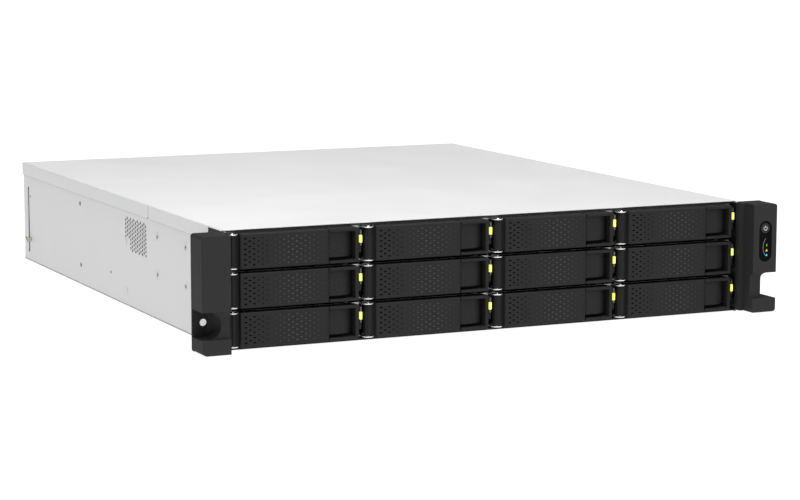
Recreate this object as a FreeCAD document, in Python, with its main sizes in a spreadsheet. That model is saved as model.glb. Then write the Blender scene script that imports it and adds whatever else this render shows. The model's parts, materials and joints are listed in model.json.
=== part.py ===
import FreeCAD, Part
import os
import re
import Sketcher
from FreeCAD import Placement, Rotation, Vector

# A two-unit rack storage server with twelve hot-swap drive trays, in millimetres.
# X runs to the right seen from the front, Y to the back, Z up. The origin is under the middle
# of the whole box. Pieces are drawn in a bench frame whose Y starts at the front of the rack
# ears, and place() moves each one back by half the depth.

COLUMNS = 4
ROWS = 3
BLADES = 7

# Driving sizes: alias and value. A text value is a formula over the other aliases.
SIZES = {
    # rack standard
    "panel_width": 482.6,
    "hole_inset": 8.75,
    "hole_span": "panel_width - 2 * hole_inset",
    "hole_height": 21.8,
    "hole_radius": 3.2,
    # sheet metal
    "chassis_depth": 513,
    "front_reach": 24,
    "rear_reach": 18,
    "thumb_place": 90,
    "thumb_drop": 5,
    "thumb_hole": 2.1,
    "thumb_shank": 2.0,
    "thumb_head": 4.0,
    "steel": 1.2,
    "lid_steel": 1.0,
    "lid_gap": 0.15,
    "touch_gap": 0.2,
    "wall_front": 19,
    "cage_front": 29,
    "skirt_drop": 11,
    "seam_gap": 0.4,
    "seam_depth": 186.3,
    # drives and bays
    "drive_width": 101.6,
    "drive_height": 26.1,
    "drive_length": 147,
    "rail_wall": 1.5,
    "tray_gap": 0.75,
    "divider_wall": 1.2,
    "shelf_wall": 0.8,
    "roof_lip": 1.1,
    "row_gap": 1.82,
    "wall_gap": 0.7,
    "head_room": 0.74,
    "drive_lift": 0.26,
    "cell_pitch": "drive_width + 2 * rail_wall + 2 * tray_gap + divider_wall",
    "row_pitch": "drive_height + shelf_wall + row_gap",
    "inner_half": "2 * cell_pitch + wall_gap",
    "wall_half": "inner_half + steel",
    "skirt_half": "wall_half + lid_gap",
    "lid_half": "skirt_half + lid_steel",
    "lid_top": "steel + 3 * row_pitch + head_room",
    "lid_under": "lid_top - lid_steel",
    "wall_top": "lid_under - lid_gap",
    "cage_top": "wall_top - touch_gap",
    "skirt_foot": "lid_top - skirt_drop",
    "chassis_back": "front_reach + chassis_depth",
    "whole_depth": "chassis_back + rear_reach",
    # trays, in the frame of one bay: x from the divider's middle, z from the face's lower edge
    "face_setback": 15,
    "face_sill": 1.1,
    "face_reveal": 3.12,
    "face_left": 8.0,
    "face_right_gap": 6.1,
    "face_right": "cell_pitch - face_right_gap",
    "face_height": "row_pitch - face_reveal",
    "handle_depth": 10,
    "handle_wall": 1.2,
    "handle_back": "face_setback + handle_depth",
    "grip_width": 20.8,
    "grip_strip": 2.6,
    "grip_floor": 2.2,
    "grip_slot": 2.4,
    "grip_right": "face_right - grip_strip",
    "grip_left": "grip_right - grip_width",
    "pin_place": 3.6,
    "pin_depth": 20,
    "pin_radius": 1.0,
    "pin_gap": 0.05,
    "barrel_radius": 3.2,
    "hinge_plate": 1.0,
    "hinge_gap": 0.3,
    "hinge_reach": 4.0,
    "bulkhead_gap": 1.0,
    "bulkhead_front": "handle_back + bulkhead_gap",
    "bulkhead_back": "bulkhead_front + rail_wall",
    "drive_gap": 2.5,
    "drive_front": "bulkhead_back + drive_gap",
    "drive_back": "drive_front + drive_length",
    "drive_floor": "drive_lift - face_sill",
    "rail_floor": 2.0,
    "rail_height": 20,
    "pipe_width": 2.8,
    "pipe_setback": 18,
    "pipe_floor": 11.5,
    "pipe_height": 12,
    "arm_half": 1.8,
    # backplane
    "plug_width": 41,
    "plug_height": 8,
    "plug_depth": 5,
    "plug_gap": 0.5,
    "plug_floor": 4,
    "socket_neck": 7,
    "board": 1.6,
    "board_front": "drive_back + socket_neck",
    "board_back": "board_front + board",
    "cage_back": "board_front - touch_gap",
    # fans
    "fan_size": 80,
    "fan_depth": 25.4,
    "fan_pitch": 120,
    "fan_tip_gap": 1.0,
    "fan_room": 4.4,
    "fan_wall_place": "board_back + fan_room",
    "fan_bore": "fan_size / 2 - 1.6",
    "fan_tip": "fan_bore - fan_tip_gap",
    "fan_hub": 18,
    "strut": 3,
    "fan_front": "fan_wall_place + steel",
    "fan_back": "fan_front + fan_depth",
    "fan_axis": "steel + touch_gap + fan_size / 2",
    # ears
    "cover_width": 21.8,
    "cover_step": 12.9,
    "ear_inset": 1.0,
    "ear_top": "lid_top - ear_inset",
    "flange": 1.5,
    "side_plate_back": 51,
    "cover_inner": "panel_width / 2 - cover_width",
    "flange_front": "front_reach - flange",
    "scoop_floor": 11.8,
    "scoop_height": 20.6,
    "scoop_middle": "scoop_floor + scoop_height / 2",
    "scoop_reach": 15.9,
    "notch_reach": 12.0,
    "notch_step": 4,
    "screw_room": 6.4,
    "ear_bevel": 0.6,
    "dish_radius": 21.2,
    "dish_place": 18.7,
    "button_radius": 4.1,
    "button_gap": 0.25,
    "button_place": 10.7,
    "button_height": 67.8,
    "pill_width": 11.7,
    "pill_floor": 41.2,
    "pill_height": 32.5,
    # power supplies
    "supply_width": 73.5,
    "supply_height": 39.5,
    "supply_length": 185,
    "supply_gap": 0.75,
    "supply_left": "inner_half - steel - supply_gap - supply_width",
    "supply_pitch": "supply_height + 2 * supply_gap",
    "supply_floor": "steel + supply_gap",
    "supply_fan": 17.5,
    "supply_fan_place": 21.5,
    "supply_board_gap": 8,
    "lever_pin": 0.8,
    "rotor_gap": 0.8,
    # electronics
    "standoff": 6,
    "mainboard_top": "steel + standoff + board",
    "cable_room": 17.4,
    "mainboard_front": "fan_back + cable_room",
    "mainboard_right": "supply_left - 8",
    "processor_height": 4,
}

doc = FreeCAD.newDocument("rack_storage")
sizes = doc.addObject("Spreadsheet::Sheet", "sizes")
for row, (alias, value) in enumerate(SIZES.items(), start=1):
    sizes.set(f"A{row}", alias)
    sizes.set(f"B{row}", f"={value}" if isinstance(value, str) else str(value))
    sizes.setAlias(f"B{row}", alias)
doc.recompute()


def bound(text):
    """The expression with each alias given its sheet's name."""
    return re.sub(r"[a-z][a-z_]+", lambda match: "sizes." + match.group(0), str(text))


def number(text):
    """An expression's value now."""
    return float(sizes.evalExpression(str(text)))


def bind(thing, **expressions):
    for name, text in expressions.items():
        thing.setExpression(name.replace("__", "."), bound(text))
    return thing


def move(thing, x="0", y="0", z="0"):
    return bind(thing, Placement__Base__x=x, Placement__Base__y=y, Placement__Base__z=z)


AXES = {
    "x": Rotation(Vector(0, 1, 0), 90),
    "y": Rotation(Vector(1, 0, 0), -90),
    "z": Rotation(),
}


def box(name, x, y, z):
    """A box between two expressions along each axis."""
    solid = doc.addObject("Part::Box", name)
    bind(solid, Length=f"({x[1]}) - ({x[0]})", Width=f"({y[1]}) - ({y[0]})", Height=f"({z[1]}) - ({z[0]})")
    return move(solid, x[0], y[0], z[0])


def rod(name, axis, radius, start, length):
    """A cylinder from a start point along an axis."""
    solid = doc.addObject("Part::Cylinder", name)
    solid.Placement = Placement(Vector(), AXES[axis])
    bind(solid, Radius=radius, Height=length)
    return move(solid, *start)


def hexagon(name, axis, radius, start, length):
    """A six-sided bar from a start point along an axis."""
    solid = doc.addObject("Part::Prism", name)
    solid.Polygon = 6
    solid.Placement = Placement(Vector(), AXES[axis])
    bind(solid, Circumradius=radius, Height=length)
    return move(solid, *start)


# How a flat outline lies: the turn that puts it there, and the direction it is extruded in.
PLANES = {
    "xy": (Rotation(), Vector(0, 0, 1)),
    "xz": (Rotation(Vector(1, 0, 0), 90), Vector(0, 1, 0)),
}


def outline(sketch, points):
    """Straight edges through the points, each point held by two bound distances."""
    values = [Vector(number(a), number(b), 0) for a, b in points]
    count = len(points)
    for place in range(count):
        sketch.addGeometry(Part.LineSegment(values[place], values[(place + 1) % count]), False)
    for place in range(count):
        sketch.addConstraint(Sketcher.Constraint("Coincident", place, 2, (place + 1) % count, 1))
    for place, pair in enumerate(points):
        for kind, text, value in zip(("DistanceX", "DistanceY"), pair, values[place]):
            held = sketch.addConstraint(Sketcher.Constraint(kind, -1, 1, place, 1, value))
            sketch.setExpression(f"Constraints[{held}]", bound(text))


def extrude(name, plane, points, start, end):
    """A solid of the outline in a plane, between two expressions along its normal."""
    turn, direction = PLANES[plane]
    sketch = doc.addObject("Sketcher::SketchObject", name + "_sketch")
    sketch.Placement = Placement(Vector(), turn)
    outline(sketch, points)
    bind(sketch, **{"Placement__Base__" + ("z" if plane == "xy" else "y"): start})
    solid = doc.addObject("Part::Extrusion", name)
    solid.Base = sketch
    solid.DirMode = "Custom"
    solid.Dir = direction
    solid.Solid = True
    return bind(solid, LengthFwd=f"({end}) - ({start})")


def cut(name, base, tools):
    result = doc.addObject("Part::Cut", name)
    result.Base = base
    result.Tool = tools[0] if len(tools) == 1 else fuse(name + "_tools", tools)
    return result


def fuse(name, pieces):
    result = doc.addObject("Part::MultiFuse", name)
    result.Shapes = pieces
    return result


def group(name, pieces):
    """Separate solids kept in one object."""
    result = doc.addObject("Part::Compound", name)
    result.Links = pieces
    return result


nodes = []


def place(thing, label, x="0", y="0", z="0"):
    """Names a sub-part and moves it from the bench frame to the model's frame."""
    thing.Label = label
    move(thing, x, f"{y} - whole_depth / 2", z)
    nodes.append(thing)
    return thing


# ---------------------------------------------------------------- chassis
# The side wall's features as (depth from the ears' front, height).
CAGE_SCREWS = [
    (depth, height) for height in ("steel + 2 * row_pitch + 6.46", "steel + row_pitch + 5.68")
    for depth in (103.5, 168)
]
RAIL_HOLES = [(367.5, 69.1), (367.5, 16.6)]
SMALL_HOLES = [(285.5, 21.6), ("chassis_back - 20", 59)]
BOSSES = [(245.5, 52.1), (245.5, 11.6)]
STUD = ("chassis_back - 19", 19.5)
VENT_START = (196, 46.5)
VENT_PITCH = (4.1, 3.6)
VENT_COLUMNS, VENT_ROWS = 13, 8


def vent_holes():
    """Staggered six-sided holes, with the patch's lower rear corner left out."""
    holes = []
    for column in range(VENT_COLUMNS):
        for line in range(VENT_ROWS):
            if column > VENT_COLUMNS - 4 and line < 3:
                continue
            depth = VENT_START[0] + column * VENT_PITCH[0]
            height = VENT_START[1] + (line + 0.5 * (column % 2)) * VENT_PITCH[1] * 0.92
            holes.append(hexagon("vent_hole", "x", "1.45", ("-lid_half", depth, height), "2 * lid_half"))
    return holes


def make_chassis():
    body = doc.addObject("PartDesign::Body", "chassis_shell")
    plane = [item for item in body.Origin.OriginFeatures if item.Role == "XZ_Plane"][0]
    sketch = body.newObject("Sketcher::SketchObject", "chassis_profile")
    sketch.AttachmentSupport = (plane, [""])
    sketch.MapMode = "FlatFace"
    outline(sketch, [
        ("-wall_half", "0"), ("wall_half", "0"), ("wall_half", "wall_top"), ("inner_half", "wall_top"),
        ("inner_half", "steel"), ("-inner_half", "steel"), ("-inner_half", "wall_top"),
        ("-wall_half", "wall_top"),
    ])
    pad = body.newObject("PartDesign::Pad", "chassis_pad")
    pad.Profile = sketch
    pad.Reversed = True
    bind(pad, Length="chassis_back - wall_front")
    body.Tip = pad
    bind(body, Placement__Base__y="wall_front")
    through = ("-lid_half", "2 * lid_half")
    tools = [box("front_edge_cut", ("-inner_half", "inner_half"), ("0", "wall_front + 3"), ("-1", "steel"))]
    for holes, radius in ((CAGE_SCREWS, 1.7), (RAIL_HOLES, 2.0), (SMALL_HOLES, 1.3)):
        for depth, height in holes:
            tools.append(rod("side_hole", "x", radius, (through[0], depth, height), through[1]))
    tools.append(box("side_slot", (through[0], "lid_half"), ("chassis_back - 16", "chassis_back - 12"),
                     ("8", "67")))
    tools += vent_holes()
    bosses = []
    for side in ("-wall_half - 0.5", "wall_half"):
        for depth, height in BOSSES:
            bosses.append(rod("pressed_boss", "x", "2.4", (side, depth, height), "0.5"))
    shell = fuse("chassis_with_bosses", [body] + bosses)
    place(cut("chassis", shell, tools), "chassis_base")


def make_cover(name, front, back):
    """A lid with skirts that lap over the side walls, between two depths."""
    return extrude(name, "xz", [
        ("-lid_half", "skirt_foot"), ("-lid_half", "lid_top"), ("lid_half", "lid_top"),
        ("lid_half", "skirt_foot"), ("skirt_half", "skirt_foot"), ("skirt_half", "lid_under"),
        ("-skirt_half", "lid_under"), ("-skirt_half", "skirt_foot"),
    ], front, back)


def make_covers():
    front = make_cover("front_lid", "front_reach", "seam_depth")
    room = [
        box("ear_room", (side, f"{side} + 2"), ("0", "side_plate_back + touch_gap"), ("0", "ear_top"))
        for side in ("-lid_half - 0.8", "skirt_half - 0.2")
    ]
    place(cut("front_lid_cut", front, room), "front_cover")

    rear = make_cover("rear_lid", "seam_depth + seam_gap", "chassis_back")
    hook = box("rear_flange", ("-thumb_place - 10", "thumb_place + 10"),
               ("chassis_back", "chassis_back + lid_steel"), ("lid_top - thumb_drop - thumb_head", "lid_top"))
    shell = fuse("rear_lid_shell", [rear, hook])
    holes, screws = [], []
    for side in ("-thumb_place", "thumb_place"):
        height = "lid_top - thumb_drop"
        holes.append(rod("thumb_hole", "y", "thumb_hole", (side, "chassis_back - 4", height), "8"))
        shank = rod("thumb_shank", "y", "thumb_shank", (side, "chassis_back + 0.1", height), "4")
        knob = rod("thumb_knob", "y", "thumb_head", (side, "chassis_back + lid_steel", height), "8")
        screws.append(fuse("thumb_screw", [shank, knob]))
    place(group("rear_lid_set", [cut("rear_lid_cut", shell, holes)] + screws), "rear_cover")


# Rear panel openings: name, left edge, right edge, bottom, top.
SLOT_LEFTS = (-196, -175.7, -155.4)
SLOT_WIDTH, SLOT_FLOOR, SLOT_TOP = 13, 5, 76
LAN_LEFTS = (-118, -100, -82, -64)
USB_LEFTS = (-34, -18)
LAN_SIZE, USB_SIZE = (16, 13.5, 21), (13.4, 15.6, 17)
RUN_OUT = 0.3
REAR_VENTS, REAR_VENT_LEFT, REAR_VENT_PITCH, REAR_VENT_WIDTH = 24, -122, 9.6, 4.6
REAR_VENT_BANDS = ((34, 50), (54, 70))


def port_window(left, size):
    """The rear panel's cut-out around a port on the mainboard."""
    return box("port_window", (left - 0.3, left + size[0] + 0.3), ("chassis_back - 5", "chassis_back + 1"),
               ("mainboard_top - 0.2", f"mainboard_top + {size[1] + 0.3}"))


def make_rear_panel():
    """The back sheet, the two strips that frame the power supplies, and the blank slot covers."""
    sheet = ("chassis_back - steel", "chassis_back")
    supplies_left, supplies_top = "supply_left - supply_gap", "supply_floor + 2 * supply_pitch"
    panel = box("rear_sheet", ("-inner_half", supplies_left), sheet, ("steel", "wall_top"))
    strips = [
        box("upper_strip", (supplies_left, "inner_half"), sheet, (supplies_top, "wall_top")),
        box("outer_strip", ("inner_half - steel", "inner_half"), sheet, ("steel", supplies_top)),
    ]
    deep = ("chassis_back - 5", "chassis_back + 1")
    tools, covers = [], []
    for left in SLOT_LEFTS:
        tools.append(box("slot_window", (left, left + SLOT_WIDTH), deep, (SLOT_FLOOR, SLOT_TOP)))
        covers.append(box("slot_cover", (left - 2, left + SLOT_WIDTH + 2),
                          ("chassis_back - steel - 0.9", "chassis_back - steel"),
                          (SLOT_FLOOR - 2, SLOT_TOP + 4)))
    tools += [port_window(left, LAN_SIZE) for left in LAN_LEFTS]
    tools += [port_window(left, USB_SIZE) for left in USB_LEFTS]
    for column in range(REAR_VENTS):
        left = REAR_VENT_LEFT + column * REAR_VENT_PITCH
        tools += [box("rear_vent", (left, left + REAR_VENT_WIDTH), deep, band) for band in REAR_VENT_BANDS]
    for side in ("-thumb_place", "thumb_place"):
        spot = (side, "chassis_back - 5", "lid_top - thumb_drop")
        tools.append(rod("thumb_thread", "y", "thumb_hole", spot, "8"))
    place(group("rear_panel_set", [cut("rear_sheet_cut", panel, tools)] + strips + covers), "rear_panel")


def bay_x(column):
    return f"{column - COLUMNS / 2} * cell_pitch"


def bay_z(line):
    return f"steel + face_sill + {line} * row_pitch"


def make_drive_cage():
    """Full-width shelves and a roof, with upright divider plates between each pair of them."""
    depth, across = ("cage_front", "cage_back"), ("-inner_half", "inner_half")
    floors = ["steel"] + [f"steel + {line} * row_pitch" for line in range(1, ROWS)]
    tops = [f"({floor}) - shelf_wall" for floor in floors[1:]] + ["cage_top - shelf_wall"]
    plates = []
    for floor, top in zip(floors, tops):
        for column in range(1, COLUMNS):
            middle = bay_x(column)
            plates.append(box("divider", (f"{middle} - divider_wall / 2", f"{middle} + divider_wall / 2"),
                              depth, (floor, top)))
    for floor in floors[1:]:
        plates.append(box("shelf", across, depth, (f"{floor} - shelf_wall", floor)))
    plates.append(box("cage_roof", across, ("front_reach", "cage_back"),
                      ("cage_top - shelf_wall", "cage_top")))
    plates.append(box("roof_lip", across, ("front_reach", "front_reach + shelf_wall"),
                      ("cage_top - roof_lip", "cage_top - shelf_wall")))
    place(group("cage_plates", plates), "drive_cage")


# ---------------------------------------------------------------- drive trays
AIR_WINDOW_LEFT, AIR_WINDOW_PITCH, AIR_WINDOW_WIDTH = 12, 31, 24


def make_tray():
    """The steel sled of one bay with its hinge pin and its light pipe."""
    left_side, right_side = "divider_wall / 2 + tray_gap", "cell_pitch - divider_wall / 2 - tray_gap"
    left, right = (left_side, f"{left_side} + rail_wall"), (f"{right_side} - rail_wall", right_side)
    rail_y = ("bulkhead_front", "drive_back")
    rail_z = ("rail_floor", "rail_floor + rail_height")
    plates = [
        box("bulkhead", (left[0], right[1]), ("bulkhead_front", "bulkhead_back"), ("0", "face_height")),
        box("left_rail", left, rail_y, rail_z),
        box("right_rail", right, rail_y, rail_z),
    ]
    for floor in ("0", "face_height - hinge_plate"):
        span = (floor, f"{floor} + hinge_plate")
        plates.append(box("hinge_tab", ("pin_place - hinge_reach", "pin_place + hinge_reach"),
                          ("pin_depth", "bulkhead_back"), span))
        plates.append(rod("hinge_nose", "z", "hinge_reach", ("pin_place", "pin_depth", floor), "hinge_plate"))
    holes = [rod("pin_hole", "z", "pin_radius", ("pin_place", "pin_depth", "-1"), "face_height + 2")]
    for window in range(3):
        low = f"divider_wall + {AIR_WINDOW_LEFT} + {window} * {AIR_WINDOW_PITCH}"
        holes.append(box("air_window", (low, f"{low} + {AIR_WINDOW_WIDTH}"), ("0", "bulkhead_back + 1"),
                         ("hinge_plate + 3", "face_height - hinge_plate - 3")))
    sled = cut("sled", fuse("sled_plates", plates), holes)
    pin = rod("hinge_pin", "z", "pin_radius", ("pin_place", "pin_depth", "0"), "face_height")
    pipe_left = "(face_right + cell_pitch) / 2 - 0.5 - pipe_width / 2"
    pipe = box("light_pipe", (pipe_left, f"{pipe_left} + pipe_width"), ("pipe_setback", "bulkhead_front"),
               ("pipe_floor", "pipe_floor + pipe_height"))
    return [sled, pin, pipe]


def make_drive():
    """A 3.5 inch disk drive with the notch in its back that takes the backplane's socket."""
    low = "divider_wall / 2 + tray_gap + rail_wall"
    block = box("drive_block", (low, f"{low} + drive_width"), ("drive_front", "drive_back"),
                ("drive_floor", "drive_floor + drive_height"))
    notch = box("drive_notch", ("cell_pitch / 2 - plug_width / 2", "cell_pitch / 2 + plug_width / 2"),
                ("drive_back - plug_depth", "drive_back + 1"), ("plug_floor", "plug_floor + plug_height"))
    return [cut("drive_body", block, [notch])]


def make_handle():
    """The hinged lever of one bay: a hollow-backed face with a finger recess at its right."""
    face = ("face_setback", "face_setback + handle_wall")
    deep = ("face_setback", "handle_back")
    tall = ("0", "face_height")
    across = ("face_left", "face_right")
    walls = [
        box("handle_face", ("face_left", "grip_left"), face, tall),
        box("handle_left", ("face_left", "face_left + handle_wall"), deep, tall),
        box("handle_seam", ("grip_left - handle_wall", "grip_left"), deep, tall),
        box("handle_right", ("grip_right", "face_right"), deep, tall),
        box("handle_foot", across, deep, ("0", "handle_wall")),
        box("handle_head", across, deep, ("face_height - 2 * handle_wall", "face_height")),
    ]
    slope = extrude("grip_slope", "xy", [
        ("grip_left - handle_wall", "face_setback + grip_floor"), ("grip_right", "handle_back - handle_wall"),
        ("grip_right", "handle_back"), ("grip_left - handle_wall", "face_setback + grip_floor + handle_wall"),
    ], "handle_wall + grip_slot", "face_height - handle_wall")
    barrel_z = ("hinge_plate + hinge_gap", "face_height - hinge_plate - hinge_gap")
    barrel = rod("barrel", "z", "barrel_radius", ("pin_place", "pin_depth", barrel_z[0]),
                 f"{barrel_z[1]} - ({barrel_z[0]})")
    arm = box("handle_arm", ("pin_place", "face_left + handle_wall"),
              ("pin_depth - arm_half", "pin_depth + arm_half"), barrel_z)
    bore = rod("barrel_bore", "z", "pin_radius + pin_gap", ("pin_place", "pin_depth", "0"), "face_height")
    return [cut("lever", fuse("lever_walls", walls + [slope, barrel, arm]), [bore])]


def make_bays():
    """Twelve bays, numbered by row from the top and by column from the left."""
    kinds = {"tray": make_tray(), "drive": make_drive(), "handle": make_handle()}
    for kind, pieces in kinds.items():
        for line in range(ROWS):
            for column in range(COLUMNS):
                copy = group(f"{kind}_set", pieces)
                place(copy, f"{kind}_{ROWS - line}_{column + 1}", bay_x(column), "0", bay_z(line))


# The backplane's two air windows beside each drive socket, from a bay's middle and floor.
BOARD_WINDOWS, BOARD_WINDOW_WIDTH, BOARD_WINDOW_SPAN = (-44, 26), 18, (3, 22)


def make_backplane():
    sheet = box("backplane_sheet", ("-inner_half + 1", "inner_half - 1"), ("board_front", "board_back"),
                ("steel + touch_gap", "cage_top"))
    windows, sockets = [], []
    for line in range(ROWS):
        floor = bay_z(line)
        for column in range(COLUMNS):
            middle = f"{bay_x(column)} + cell_pitch / 2"
            for low in BOARD_WINDOWS:
                across = (f"{middle} + {low}", f"{middle} + {low + BOARD_WINDOW_WIDTH}")
                windows.append(box("air_window", across, ("board_front - 1", "board_back + 1"),
                                   tuple(f"{floor} + {height}" for height in BOARD_WINDOW_SPAN)))
            half = "plug_width / 2 - plug_gap"
            sockets.append(box("drive_socket", (f"{middle} - ({half})", f"{middle} + {half}"),
                               ("drive_back - plug_depth + plug_gap", "board_front"),
                               (f"{floor} + plug_floor + plug_gap",
                                f"{floor} + plug_floor + plug_height - plug_gap")))
    place(group("backplane_set", [cut("backplane_cut", sheet, windows)] + sockets), "backplane")


# ---------------------------------------------------------------- fans
def make_rotor(prefix, tip, hub, depth, blade_tilt, blade):
    """A fan rotor about the Y axis, its front at y = 0."""
    parts = [rod(prefix + "_hub", "y", hub, ("0", "0", "0"), depth)]
    for count in range(BLADES):
        turn = Rotation(Vector(0, 1, 0), 360 * count / BLADES)
        plate = doc.addObject("Part::Box", prefix + "_blade")
        bind(plate, Length=f"{tip} + 2", Width=f"{depth} * 1.15", Height=blade)
        tilt = Rotation(Vector(1, 0, 0), blade_tilt)
        reach = number(depth) * 1.15 / 2
        plate.Placement = Placement(Vector(), turn) * Placement(Vector(0, number(depth) / 2, 0), tilt) \
            * Placement(Vector(0, -reach, 0), Rotation())
        parts.append(plate)
    limit = rod(prefix + "_limit", "y", tip, ("0", "0", "0"), depth)
    whole = doc.addObject("Part::Common", prefix + "_rotor")
    whole.Base = fuse(prefix + "_parts", parts)
    whole.Tool = limit
    return whole


def make_fans():
    bracket = box("fan_bracket", ("-inner_half", "inner_half"), ("fan_wall_place", "fan_front"),
                  ("steel", "cage_top"))
    bores = []
    housings = []
    for place_number in (-1, 0, 1):
        centre = f"{place_number} * fan_pitch"
        bores.append(rod("bracket_bore", "y", "fan_bore", (centre, "0", "fan_axis"), "whole_depth"))
        frame = box("fan_frame", (f"{centre} - fan_size / 2", f"{centre} + fan_size / 2"),
                    ("fan_front", "fan_back"), ("fan_axis - fan_size / 2", "fan_axis + fan_size / 2"))
        bore = rod("fan_bore", "y", "fan_bore", (centre, "0", "fan_axis"), "whole_depth")
        motor = rod("motor_mount", "y", "fan_hub", (centre, "fan_back - strut", "fan_axis"), "strut")
        struts = []
        strut_y = ("fan_back - strut", "fan_back")
        struts.append(box("strut_level", (f"{centre} - fan_bore - 0.5", f"{centre} + fan_bore + 0.5"),
                          strut_y, ("fan_axis - 2", "fan_axis + 2")))
        struts.append(box("strut_upright", (f"{centre} - 2", f"{centre} + 2"), strut_y,
                          ("fan_axis - fan_bore - 0.5", "fan_axis + fan_bore + 0.5")))
        housings.append(fuse("fan_housing", [cut("fan_frame_cut", frame, [bore]), motor] + struts))
    place(group("fan_wall_set", [cut("fan_bracket_cut", bracket, bores)] + housings), "fan_wall")

    rotor = make_rotor("fan", "fan_tip", "fan_hub", "fan_depth - strut - 2", 38, "1.6")
    for count, place_number in enumerate((-1, 0, 1), start=1):
        place(group("fan_rotor_set", [rotor]), f"fan_rotor_{count}", f"{place_number} * fan_pitch",
              "fan_front + 1", "fan_axis")


# ---------------------------------------------------------------- power supplies
INLET = ((46.5, 70.5), (4, 21))
LEVER_ROOM = ((61, 71), (25.5, 36.5))
LEVER_PLATE = ((66.6, 68.6), (26.5, 35.5))
LEVER_PIVOT = (67.6, -8)
HANDLE_LEFT, HANDLE_BAR, HANDLE_POSTS = 40.2, 4, (6, 29.5)


def make_supply():
    """A plug-in power supply, its back face at y = 0 and its lower left edge at the origin."""
    case = box("supply_case", ("0", "supply_width"), ("-supply_length", "0"), ("0", "supply_height"))
    middle = "supply_height / 2"
    tools = [
        rod("supply_fan_bore", "y", "supply_fan", ("supply_fan_place", "-14", middle), "20"),
        box("inlet_cavity", INLET[0], ("-14", "1"), INLET[1]),
        box("lever_room", LEVER_ROOM[0], ("-10", "1"), LEVER_ROOM[1]),
    ]
    handle = [
        box("handle_post", (HANDLE_LEFT, HANDLE_LEFT + HANDLE_BAR), ("0", "rear_reach"),
            (floor, floor + HANDLE_BAR)) for floor in HANDLE_POSTS
    ]
    handle.append(box("handle_grip", (HANDLE_LEFT, HANDLE_LEFT + HANDLE_BAR),
                      (f"rear_reach - {HANDLE_BAR}", "rear_reach"),
                      (HANDLE_POSTS[0], HANDLE_POSTS[1] + HANDLE_BAR)))
    pins = [
        box("inlet_pin", (low, low + 2), ("-14", "-4"), (9, 13)) for low in (51, 64)
    ]
    pins.append(box("inlet_earth", (57.5, 59.5), ("-14", "-4"), (14, 18)))
    pins.append(rod("lever_pin", "z", "lever_pin", (*LEVER_PIVOT, LEVER_ROOM[1][0]),
                    LEVER_ROOM[1][1] - LEVER_ROOM[1][0]))
    return [cut("supply_case_cut", case, tools), fuse("supply_handle", handle)] + pins


def make_lever():
    """The spring release lever of a power supply, which turns about an upright pin."""
    plate = box("lever_plate", LEVER_PLATE[0], ("-9", "9"), LEVER_PLATE[1])
    pad = box("lever_pad", (LEVER_PLATE[0][0] - 2, LEVER_PLATE[0][1]), ("6", "9"), LEVER_PLATE[1])
    height = LEVER_PLATE[1][1] - LEVER_PLATE[1][0]
    knuckle = rod("lever_knuckle", "z", "2 * lever_pin", (*LEVER_PIVOT, LEVER_PLATE[1][0]), height)
    bore = rod("lever_bore", "z", "lever_pin + pin_gap", (*LEVER_PIVOT, LEVER_PLATE[1][0]), height)
    return [cut("lever_bored", fuse("lever_set", [plate, pad, knuckle]), [bore])]


def make_supplies():
    kinds = {"supply": make_supply(), "supply_lever": make_lever()}
    rotor = make_rotor("supply_fan", "supply_fan - rotor_gap", "9", "9", 35, "1.2")
    for count in (1, 2):
        floor = f"supply_floor + {count - 1} * supply_pitch"
        for kind, pieces in kinds.items():
            place(group(kind + "_set", pieces), f"{kind}_{count}", "supply_left", "chassis_back", floor)
        place(group("supply_fan_set", [rotor]), f"supply_fan_{count}", "supply_left + supply_fan_place",
              "chassis_back - 12", f"{floor} + supply_height / 2")
    left = "supply_left - supply_gap"
    front = "chassis_back - supply_length - supply_board_gap - 4"
    bay = fuse("supply_bay_plates", [
        box("bay_side", (f"{left} - steel", left), (front, "chassis_back - steel"), ("steel", "cage_top")),
        box("bay_shelf", (left, "inner_half"), ("chassis_back - supply_length", "chassis_back - steel"),
            ("supply_floor + supply_height + supply_gap / 2",
             "supply_floor + supply_height + supply_gap * 1.5")),
        box("bay_outer", ("inner_half - steel", "inner_half"), (front, "chassis_back - steel"),
            ("steel", "cage_top")),
    ])
    board_place = "chassis_back - supply_length - supply_board_gap"
    board = box("power_board", (left, "inner_half - steel"), (board_place, f"{board_place} + board"),
                ("steel + 3", "cage_top - 3"))
    place(group("supply_bay_set", [bay, board]), "supply_bay")


# ---------------------------------------------------------------- electronics
# Places on the mainboard: X in the bench frame, depth from the board's front edge.
HEATSINK = (-60, 86, 80, 80, 46)
FINS, FIN_WALL = 20, 1.2
PROCESSOR = ((-40, 0), (106, 146))
CONTROLLER = ((-150, -120), (166, 196))
MEMORY_LEFTS = (46, 56, 66, 76)
SOCKET_RUN, MODULE_RUN = (28, 170), (32, 166)


def on_board(run):
    """Two depths from the mainboard's front edge as bench depths."""
    return tuple(f"mainboard_front + {depth}" for depth in run)


def port_can(name, left, size, cavities):
    """A metal port on the mainboard's back edge with its plug cavities."""
    width, height, depth = size
    can = box(name, (left, left + width), (f"chassis_back + {RUN_OUT - depth}", f"chassis_back + {RUN_OUT}"),
              ("mainboard_top", f"mainboard_top + {height}"))
    tools = []
    for margin, floor, tall, deep in cavities:
        tools.append(box(name + "_cavity", (left + margin, left + width - margin),
                         (f"chassis_back + {RUN_OUT - deep}", "chassis_back + 1"),
                         (f"mainboard_top + {floor}", f"mainboard_top + {floor + tall}")))
    return cut(name + "_can", can, tools)


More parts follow.
